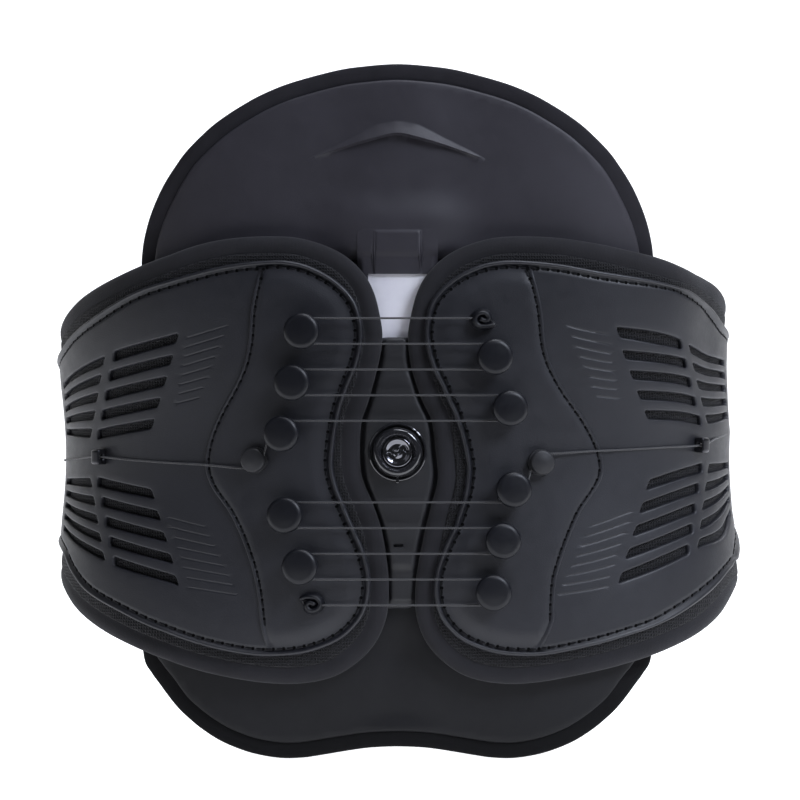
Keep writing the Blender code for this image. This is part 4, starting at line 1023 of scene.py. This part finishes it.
def pad_heights(low, high, band):
    """A bound edge rolled over the foam, then the face a little lower, and a quilted inner face."""
    middle = (low + high) / 2

    def top(u, z, rim, hole):
        roll = middle + 0.1 + (high - middle + 0.35) * hill(rim - band / 2, band / 2)
        face = high - 0.25 + 0.3 * smooth((rim - band) / 12)
        return np.where(rim < band / 2, roll, np.maximum(roll, face))

    def bottom(u, z, rim, hole):
        roll = middle - 0.1 - (middle - low) * hill(rim - band / 2, band / 2)
        channels = np.minimum(np.abs((u - 20) % 44 - 22), np.abs((z + 23) % 46 - 23))
        quilt = 0.8 * (1 - quarter_round(channels, 8.0)) * smooth((rim - band) / 5)
        return np.where(rim < band / 2, roll, np.minimum(np.maximum(low, roll), middle) + quilt)
    return top, bottom


def build_panel(side_name, side):
    body = f"{side_name}_panel"
    outline = leaned(loop_of(PANEL_EDGE, (PANEL_EDGE[-1], PANEL_EDGE[0])), PAD_LEAN, side)
    shell_edge = leaned(loop_of(SHELL_EDGE, (SHELL_EDGE[-1], SHELL_EDGE[0])), SHELL_LEAN, side)
    move = askew if side > 0 else as_is
    pad = skin(f"{side_name}_pad", outline, ("liner", "binding"),
               *pad_heights(*PAD_D, PAD_BAND), gap=3.4, side=side, band=PAD_BAND, move=move,
               rings=(0.3, 0.8, 1.6, 2.8, 4.1, 5.4, 6.6, 7.6, PAD_BAND, 9.0))
    keep(pad, body)

    mesh_edge = offset(outline, MESH_INSET)
    mesh_edge = mesh_edge[mesh_edge[:, 0] < SEAM_U - 3]

    def mesh_top(u, z, rim, hole):
        edge = 0.8 * quarter_round(rim, 1.4)
        return PAD_D[1] + edge + 0.1 * np.sin(u * 1.9) * np.sin(z * 2.3)
    layer = skin(f"{side_name}_mesh_layer", mesh_edge, "mesh", mesh_top, level(MESH_BOTTOM),
                 rings=(0.4, 0.9, 1.4), gap=2.6, side=side, move=move)
    keep(layer, body)

    grooves = groove_lines()

    def shell_top(u, z, rim, hole):
        """The face inside a rolled piping, with a stitch channel, bevelled slots and the fine grooves."""
        piping = 18.4 + 1.6 * hill(rim - PIPING_BAND / 2, PIPING_BAND / 2)
        face = SHELL_FACE - 0.75 * np.exp(-(rim - 3.0) ** 2) + 0.25 * smooth((rim - 5) / 8)
        covered = np.maximum(piping, np.where(rim > PIPING_BAND / 2, face - 0.2, 0))
        lined = np.where(rim < PIPING_BAND, covered, face)
        groove = 0.24 * np.clip(1 - (away(u, z, grooves) / 0.45) ** 2, 0, 1)
        return lined - 0.9 * (1 - quarter_round(hole, 0.9)) - groove

    creases = grooves + [line + (0, step) for line in grooves for step in (-0.85, -0.45, 0.45, 0.85)]
    shell = skin(f"{side_name}_shell", shell_edge, ("shell", "piping"), shell_top,
                 level(SHELL_D[0]), rings=(0.25, 0.65, 1.1, 1.55, 1.9, 2.15, 2.6, 3.1, 3.8, 4.6, 5.4),
                 holes=slot_outlines(), lines=creases, hole_rings=(0.25, 0.55, 0.9), gap=2.6, side=side,
                 band=PIPING_BAND, move=move)
    keep(shell, body)

    def on_plate(line):
        line = leaned(line, SHELL_LEAN, side)
        if side > 0:
            line[:, 0] += table_at(SEAM_LEAN, line[:, 1]) * between((42, 56), line[:, 0])
        return line
    seam, inner = (on_plate(resampled(line, 1.5)) for line in (PLATE_SEAM, PLATE_INNER))

    def plate_top(u, z, rim, hole):
        seam_away, inner_away = away(u, z, [seam]), away(u, z, [inner])
        rise = quarter_round(seam_away, 0.9) * smooth(inner_away / 8)
        thread = 0.7 * np.exp(-((seam_away - 2.0) / 0.75) ** 2) * smooth(inner_away / 4)
        return PULLEY_PLATE_D[1] - 1.5 * (1 - rise) - thread

    plate_edge = on_plate(loop_of(PLATE_SEAM, PLATE_INNER, gap=1.5))
    plate = skin(f"{side_name}_pulley_plate", plate_edge, "shell", plate_top,
                 level(PULLEY_PLATE_D[0]), rings=(0.2, 0.45, 0.9, 1.4, 2.0, 2.7), gap=2.2, side=side,
                 move=move)
    keep(plate, body)

    rim_row = opened(offset(shell_edge, SHELL_ROW_INSET), lambda u: u < 210)
    seam_row = on_plate(resampled(PLATE_SEAM[:-1], 1.5)) - (2.0, 0)

    def rim_depth(u, z):
        flat = np.stack([u, z], 1)
        on_plate_edge = inside(flat, plate_edge) | (distance_to(flat, [plate_edge]) < 0.5)
        return PLATE_THREAD_D if on_plate_edge.any() else SHELL_THREAD_D
    thread = stitches(f"{side_name}_stitches", [(rim_row, rim_depth), (seam_row, SEAM_THREAD_D)], side=side,
                      move=move)
    keep(thread, body, replaces=False)


# Fittings and lacing


def height_on(z, lower):
    """The height z on the upper cord, or what matches it on the lower one."""
    return MIRROR_Z - z if lower else z


def sheave_centre(index, lower):
    """(u, z) of a sheave. They are counted from the cord's cleat and alternate between the sides."""
    side = 1 if (index % 2 == 1) != lower else -1
    return side * SHEAVE_U[index], height_on(TOP_SPAN_Z - PITCH_RADIUS - index * SPAN_STEP, lower)


def build_fittings():
    for side_name, sign in SIDES:
        body = f"{side_name}_panel"
        centres = [sheave_centre(i, lower) for lower in (False, True) for i in range(5)]
        mine = sorted((c for c in centres if c[0] * sign > 0), key=lambda c: -c[1])
        for number, (u, z) in enumerate(mine, 1):
            place = local_frame(u, z, SHEAVE_D)
            name = f"{side_name}_sheave_{number}"
            sheave = lathe(name, [
                (2.2, -1.9), (6.6, -1.9), (6.9, -1.6), (5.3, -0.6), (5.1, 0), (5.3, 0.6), (6.9, 1.6),
                (6.6, 1.9), (2.2, 1.9), (2.2, -1.9)], place, "nylon", 40)
            keep(sheave, name)
            low, under = FITTING_BASE - SHEAVE_D, CAP_BOTTOM - SHEAVE_D
            cap = lathe(f"{side_name}_pulley_cap_{number}", [
                (0, low), (5.2, low), (5.2, low + 0.5), (4.4, -2.2), (2.1, -2.2), (2.1, under), (7.6, under),
                (8.3, under + 0.4), *bead((8.3, under + 1.1), (5.4, under + 3.3), 10),
                (4.0, under + 3.52), (2.0, under + 3.66), (0, under + 3.7),
            ], place, "cap", 64)
            keep(cap, body)
        build_anchor(side_name, sign, body)
        low = FITTING_BASE - GUIDE_D
        guide = lathe(f"{side_name}_cord_guide", [
            (0, low), (6.2, low), (6.2, -1.7), (5.9, -1.2), (3.3, -0.9), (3.1, 0), (3.3, 0.8), (5.3, 1.0),
            *bead((5.8, 1.5), (4.4, 3.1), 6), (2.6, 3.7), (0, 3.95)],
            local_frame(sign * GUIDE[0], height_on(GUIDE[1], sign > 0), GUIDE_D), "housing", 56)
        keep(guide, body)
        eyelet_u, eyelet_z = EYELETS[side_name]
        turn = Matrix(((0, 0, 1, 0), (1, 0, 0, 0), (0, 1, 0, 0), (0, 0, 0, 1)))
        base, top = 19.2 - EYELET_D, 2.3
        block = rounded_box((0, (base + top) / 2), (3.6, (top - base) / 2), 1.2, 0.5)
        eyelet = skin(f"{side_name}_cord_eyelet", block, "steel", level(2.1, 0.7, 0.7),
                      level(-2.1, -0.7, 0.7), rings=(0.15, 0.4, 0.7), holes=[circle((0, 0), 1.15, 20)],
                      hole_rings=(0.3, 0.7), gap=0.8,
                      place=local_frame(sign * eyelet_u, eyelet_z, EYELET_D) @ turn)
        keep(eyelet, body)


def build_anchor(side_name, sign, body):
    """A comma-shaped cleat: a thick curl that winds in over the cord's end."""
    place = local_frame(sign * ANCHOR[0], height_on(ANCHOR[1], sign < 0), ANCHOR_D)
    outline = sign * 1.15 * resampled(
        [(3.6, 0.6), (2.6, 3.6), (-0.8, 4.6), (-4.2, 3.0), (-5.2, -0.4), (-3.6, -3.2), (0.6, -4.2),
         (5.0, -2.2)], 0.7, closed=True)
    curl = sign * 1.15 * resampled(
        [(4.6, -2.0), (1.5, -2.6), (-2.0, -2.2), (-3.6, 0.0), (-2.4, 2.3), (0.4, 2.8), (1.9, 1.1),
         (0.9, -0.3), (-0.9, 0.2)], 0.5)

    def top(u, z, rim, hole):
        return 1.2 + 1.4 * quarter_round(rim, 1.0) + 2.2 * hill(away(u, z, [curl]), 1.35)
    made = skin(f"{side_name}_cord_anchor", outline, "cap", top, level(-0.4), rings=(0.2, 0.5, 1.0),
                gap=0.4, place=place)
    keep(made, body)


def arc(place, radius, start, end, steps):
    """Points in metres on a circle about the Z axis of place, from one angle in degrees to another."""
    angles = [math.radians(start + (end - start) * k / steps) for k in range(steps + 1)]
    return [place @ (Vector((math.cos(a), math.sin(a), 0)) * radius * MM) for a in angles]


def side_run(side_name):
    """(u, z, d) points of a cord from its guide, through the side eyelet and over the seam to its handle."""
    eyelet_u, eyelet_z = EYELETS[side_name]
    handle_z, start_z = HANDLE_Z[side_name], GUIDE_EXIT_Z[side_name]
    on_shell = SHELL_D[1] + CORD_RADIUS + 0.35
    return (
        (70.0, start_z + 0.3, 22.7), (84.0, (2 * start_z + eyelet_z) / 3, 21.9),
        (100.0, (start_z + eyelet_z) / 2, on_shell + 0.1), (118.0, (start_z + 3 * eyelet_z) / 4, on_shell),
        (eyelet_u, eyelet_z, EYELET_D), (152.0, (3 * eyelet_z + handle_z) / 4, on_shell + 0.1),
        (176.0, (eyelet_z + handle_z) / 2, on_shell), (200.0, (eyelet_z + 3 * handle_z) / 4, on_shell),
        (216.0, handle_z, on_shell + 0.1), (HANDLE_U - HANDLE_HALF[0] + 2.0, handle_z, SHELL_D[1]),
    )


def dense(points, gap=2.0):
    """The same line with points no more than gap millimetres apart."""
    found = [points[0]]
    for a, b in zip(points, points[1:]):
        count = max(int(math.ceil((b - a).length / (gap * MM))), 1)
        found += [a.lerp(b, k / count) for k in range(1, count + 1)]
    return found


def build_cord(side_name, lower):
    """One cord, cut where it crosses the spine, the side seam and the handle."""
    turn = 180 if lower else 0
    first_side = 1 if lower else -1
    anchor_z = height_on(TOP_SPAN_Z, lower)
    points = [point(-first_side * (ANCHOR[0] - 3.2), anchor_z, SHEAVE_D - 1.3),
              point(-first_side * (ANCHOR[0] - 6.1), anchor_z, SHEAVE_D - 1.0)]
    guide = local_frame(first_side * GUIDE[0], height_on(GUIDE[1], lower), GUIDE_D)
    for index in range(4):
        place = local_frame(*sheave_centre(index, lower), SHEAVE_D)
        points += arc(place, PITCH_RADIUS, 90 + turn, 90 + turn + 180 * (1 - 2 * (index % 2)), 20)
    place = local_frame(*sheave_centre(4, lower), SHEAVE_D)
    to_guide = place.inverted() @ guide.translation / MM
    bearing = math.degrees(math.atan2(to_guide.y, to_guide.x))
    spread = math.degrees(math.acos((PITCH_RADIUS + GUIDE_RADIUS) / math.hypot(to_guide.x, to_guide.y)))
    leave = (bearing - spread - 90 - turn) % 360 + 90 + turn
    points += arc(place, PITCH_RADIUS, 90 + turn, leave, 12)
    points += arc(guide, GUIDE_RADIUS, leave - 180, -94 + turn, 10)
    laced = dense(points)
    name = "lower" if lower else "upper"
    halves = {"left": [], "right": []}
    current, where = [], None
    for p in laced:
        here = "left" if p.x < 0 else "right"
        if where and here != where:
            a = current[-1]
            middle = a.lerp(p, a.x / (a.x - p.x))
            halves[where].append(current + [middle])
            current = [middle]
        current.append(p)
        where = here
    run = resampled(side_run(side_name), 2.0)
    if first_side > 0:
        run[:, 2] = askew(*run.T)[2]
    along_side = [Vector(p) for p in wrap(first_side * run[:, 0], run[:, 1], run[:, 2])]
    on_panel = [p for p, r in zip(along_side, run) if r[0] <= SEAM_U - 4]
    over_seam = [p for p, r in zip(along_side, run) if SEAM_U - 6 <= r[0] <= SEAM_U + 9]
    to_handle = [p for p, r in zip(along_side, run) if r[0] >= SEAM_U + 7]
    halves[where].append(current + dense([current[-1], on_panel[0]])[1:] + on_panel[1:])
    for half_name, sign in SIDES:
        piece = tubes(f"{name}_cord_{half_name}", halves[half_name], CORD_RADIUS, "cord", 10)
        keep(piece, replaces=False)
        if half_name == side_name:
            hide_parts(f"{name}_lacing_cord")
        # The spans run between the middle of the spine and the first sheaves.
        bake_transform(piece)
    piece = tubes(f"{name}_cord_seam", [over_seam], CORD_RADIUS, "cord", 10)
    keep(piece, replaces=False)
    bend_over_seam(piece, first_side)
    piece = tubes(f"{name}_cord_end", [to_handle], CORD_RADIUS, "cord", 10)
    keep(piece, replaces=False)
    start, end = (point(first_side * u, 0, 18) for u in (SEAM_U + 9, HANDLE_U - HANDLE_HALF[0] - 0.5))
    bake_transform(piece)


def bend_over_seam(piece, sign):
    start, end = (point(sign * u, 0, SEAM_D) for u in (SEAM_U - 0.5, SEAM_U + BEND_LENGTH))
    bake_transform(piece)


# Front wings and pull handles


def straight_front():
    """How far along the waist the middle of the front lies past its last arc."""
    x, heading = 0.0, 0.0
    for radius, angle in WAIST_ARCS:
        x += radius * (math.sin(heading + angle) - math.sin(heading))
        heading += angle
    return x


def build_wings():
    start = SEAM_U + SEAM_GAP
    front = WAIST_LENGTH + straight_front()
    end = front + WING_OVERLAP
    curve = [(start, 53.9), (260, 50.5), (WAIST_LENGTH, 48.5), (end - 14, 47.5), (end - 4, 43.0), (end, 32.0)]
    curve += [(u, -z) for u, z in reversed(curve)]
    outline = loop_of(curve, [(start, -53.9), (start, 53.9)], gap=2.0)
    for side_name, sign in SIDES:
        lift = right_lift if sign > 0 else None
        wing = skin(f"{side_name}_wing", outline, ("wing", "binding"),
                    *pad_heights(*WING_D, WING_BAND), gap=3.2, side=sign, band=WING_BAND,
                    rings=(0.3, 0.8, 1.6, 3.0, 4.4, 5.2, WING_BAND, 6.8), lift=lift)
        keep(wing)
        bend_over_seam(wing, sign)
        row = opened(offset(outline, WING_ROW_INSET), lambda u: u > start + 9)
        thread = stitches(f"{side_name}_wing_stitches", [(row, WING_D[1] - 0.15)], 3.6, 0.28, sign, lift)
        keep(thread, replaces=False)
        bend_over_seam(thread, sign)
        tape = skin(f"{side_name}_seam_tape", rounded_box((start, 0), (4.5, 51.5), 1.5), "binding",
                    level(14.5, 0.6, 0.8), level(13.7, -0.6, 0.8), rings=(0.4, 0.8, 2.0, 3.2), gap=2.4,
                    side=sign)
        keep(tape, replaces=False)
        bend_over_seam(tape, sign)
        kind, half, top, bottom, rings = (
            ("loop", 38.0, level(16.3, 0.85, 1.2), level(15.8), (0.3, 0.7, 1.2)) if sign < 0 else
            ("hook", 35.0, level(19.2), level(18.5, -0.85, 1.0), (0.3, 0.6, 1.0)))
        patch = skin(f"{side_name}_{kind}_patch", rounded_box((front, 0), (WING_OVERLAP - 6, half), 4.0),
                     kind, top, bottom, rings=rings, gap=2.4, side=sign)
        keep(patch, f"{side_name}_wing")
        build_handle(side_name, sign)


def build_handle(side_name, sign):
    centre = (HANDLE_U, HANDLE_Z[side_name])
    finger = rounded_box((centre[0] + 9.0, centre[1]), (13.0, 7.5), 7.2, 0.8)
    eye = (centre[0] - 24.5, centre[1])

    def top(u, z, rim, hole):
        grip = 0.5 * np.exp(-((hole - 2.2) / 1.1) ** 2)
        boss = 0.5 * smooth((5.5 - np.hypot(u - eye[0], z - eye[1])) / 1.2)
        x = u - centre[0]
        ribs = 0.3 * smooth((1.0 - np.abs((x % 3.6) - 1.8)) / 0.5) * smooth(-x - 7) * smooth(x + 19) \
            * smooth((11.0 - np.abs(z - centre[1])) / 1.5)
        return 18.9 + 1.5 * quarter_round(np.minimum(rim, hole), 1.5) + grip + boss + ribs
    tab = skin(f"{side_name}_pull_handle", rounded_box(centre, HANDLE_HALF, 9.0, 1.0), "handle", top,
               level(18.8, -0.8, 1.2), rings=(0.2, 0.5, 1.0, 1.5), holes=[finger],
               hole_rings=(0.2, 0.5, 1.0, 1.5, 2.2, 3.2), gap=0.9, side=sign)
    keep(tab, f"{side_name}_pull")
    pad = skin(f"{side_name}_handle_hook_pad", rounded_box((centre[0] - 17.5, centre[1]), (10.5, 12.0), 3.0),
               "hook", level(18.2), level(17.2, -0.8, 0.8), rings=(0.3, 0.8), gap=1.6, side=sign)
    keep(pad, f"{side_name}_pull")


# Studio


def build_studio():
    centre = (cad_box[0] + cad_box[1]) / 2
    floor_z = cad_box[0].z - 0.0006
    # A floor that turns up into a backdrop behind the object.
    turn_y, turn_radius = 1.6, 0.9
    angles = [math.pi / 2 * k / 16 for k in range(1, 17)]
    sweep = [(-0.45, 0.0), (turn_y, 0.0), *(
        (turn_y + turn_radius * math.sin(a), turn_radius - turn_radius * math.cos(a)) for a in angles),
        (2.5, 4.0)]
    points = [(x, y, floor_z + z) for y, z in sweep for x in (-4, 4)]
    faces = [(2 * k, 2 * k + 1, 2 * k + 3, 2 * k + 2) for k in range(len(sweep) - 1)]
    n = Nodes("studio_floor")
    mottle = n.noise(n.place(6, False), 1.0, 3)
    FINISH["floor"] = n.done(
        n.colour(mottle, (0.90, 0.90, 0.905), (0.93, 0.93, 0.93)), n.spread(mottle, 0.85, 0.95),
        n.bump(mottle, 0.0002), Emission_Color=(1, 1, 1, 1), Emission_Strength=0.75)
    finish_mesh("studio_floor", points, faces, "floor", sharp=60)

    # The world lights the object dimly, and looks pale to the camera.
    world = bpy.data.worlds.new("studio")
    world.use_nodes = True
    nodes, link = world.node_tree.nodes, world.node_tree.links.new
    nodes["Background"].inputs["Color"].default_value = (0.88, 0.92, 1.0, 1)
    nodes["Background"].inputs["Strength"].default_value = 0.066
    backdrop = nodes.new("ShaderNodeBackground")
    backdrop.inputs["Strength"].default_value = 1.3
    seen = nodes.new("ShaderNodeLightPath")
    mix = nodes.new("ShaderNodeMixShader")
    link(seen.outputs["Is Camera Ray"], mix.inputs[0])
    link(nodes["Background"].outputs[0], mix.inputs[1])
    link(backdrop.outputs[0], mix.inputs[2])
    link(mix.outputs[0], nodes["World Output"].inputs["Surface"])
    bpy.context.scene.world = world
    for name, where, size, watts in (
            ("key", (1.3, -1.15, 1.35), 0.8, 40), ("fill", (-1.3, -1.4, 0.8), 0.9, 1),
            ("top", (0.3, -0.3, 1.7), 0.9, 17.5), ("rim", (0.4, 1.4, 1.3), 1.0, 12)):
        light = bpy.data.lights.new(name, "AREA")
        light.shape = "SQUARE"
        light.size = size
        light.energy = watts
        light.color = (0.80, 0.86, 1.0) if name == "key" else (0.88, 0.91, 1.0)
        lamp = bpy.data.objects.new(name, light)
        lamp.location = where
        lamp.rotation_euler = (centre - Vector(where)).to_track_quat("-Z", "Y").to_euler()
        bpy.context.scene.collection.objects.link(lamp)

    camera_data = bpy.data.cameras.new("camera")
    camera_data.lens = 145.3
    camera_data.sensor_width = 36.0
    camera = bpy.data.objects.new("camera", camera_data)
    camera.location = (0.00115, -1.6, 0.0276)
    camera.rotation_euler = (math.radians(90), 0, 0)
    bpy.context.scene.collection.objects.link(camera)
    bpy.context.scene.camera = camera
    bpy.context.scene.view_settings.view_transform = "Standard"


build_studio()
build_plates()
build_spine()
build_dial()
for side_name, side in SIDES:
    build_panel(side_name, side)
build_fittings()
build_cord("left", False)
build_cord("right", True)
build_wings()
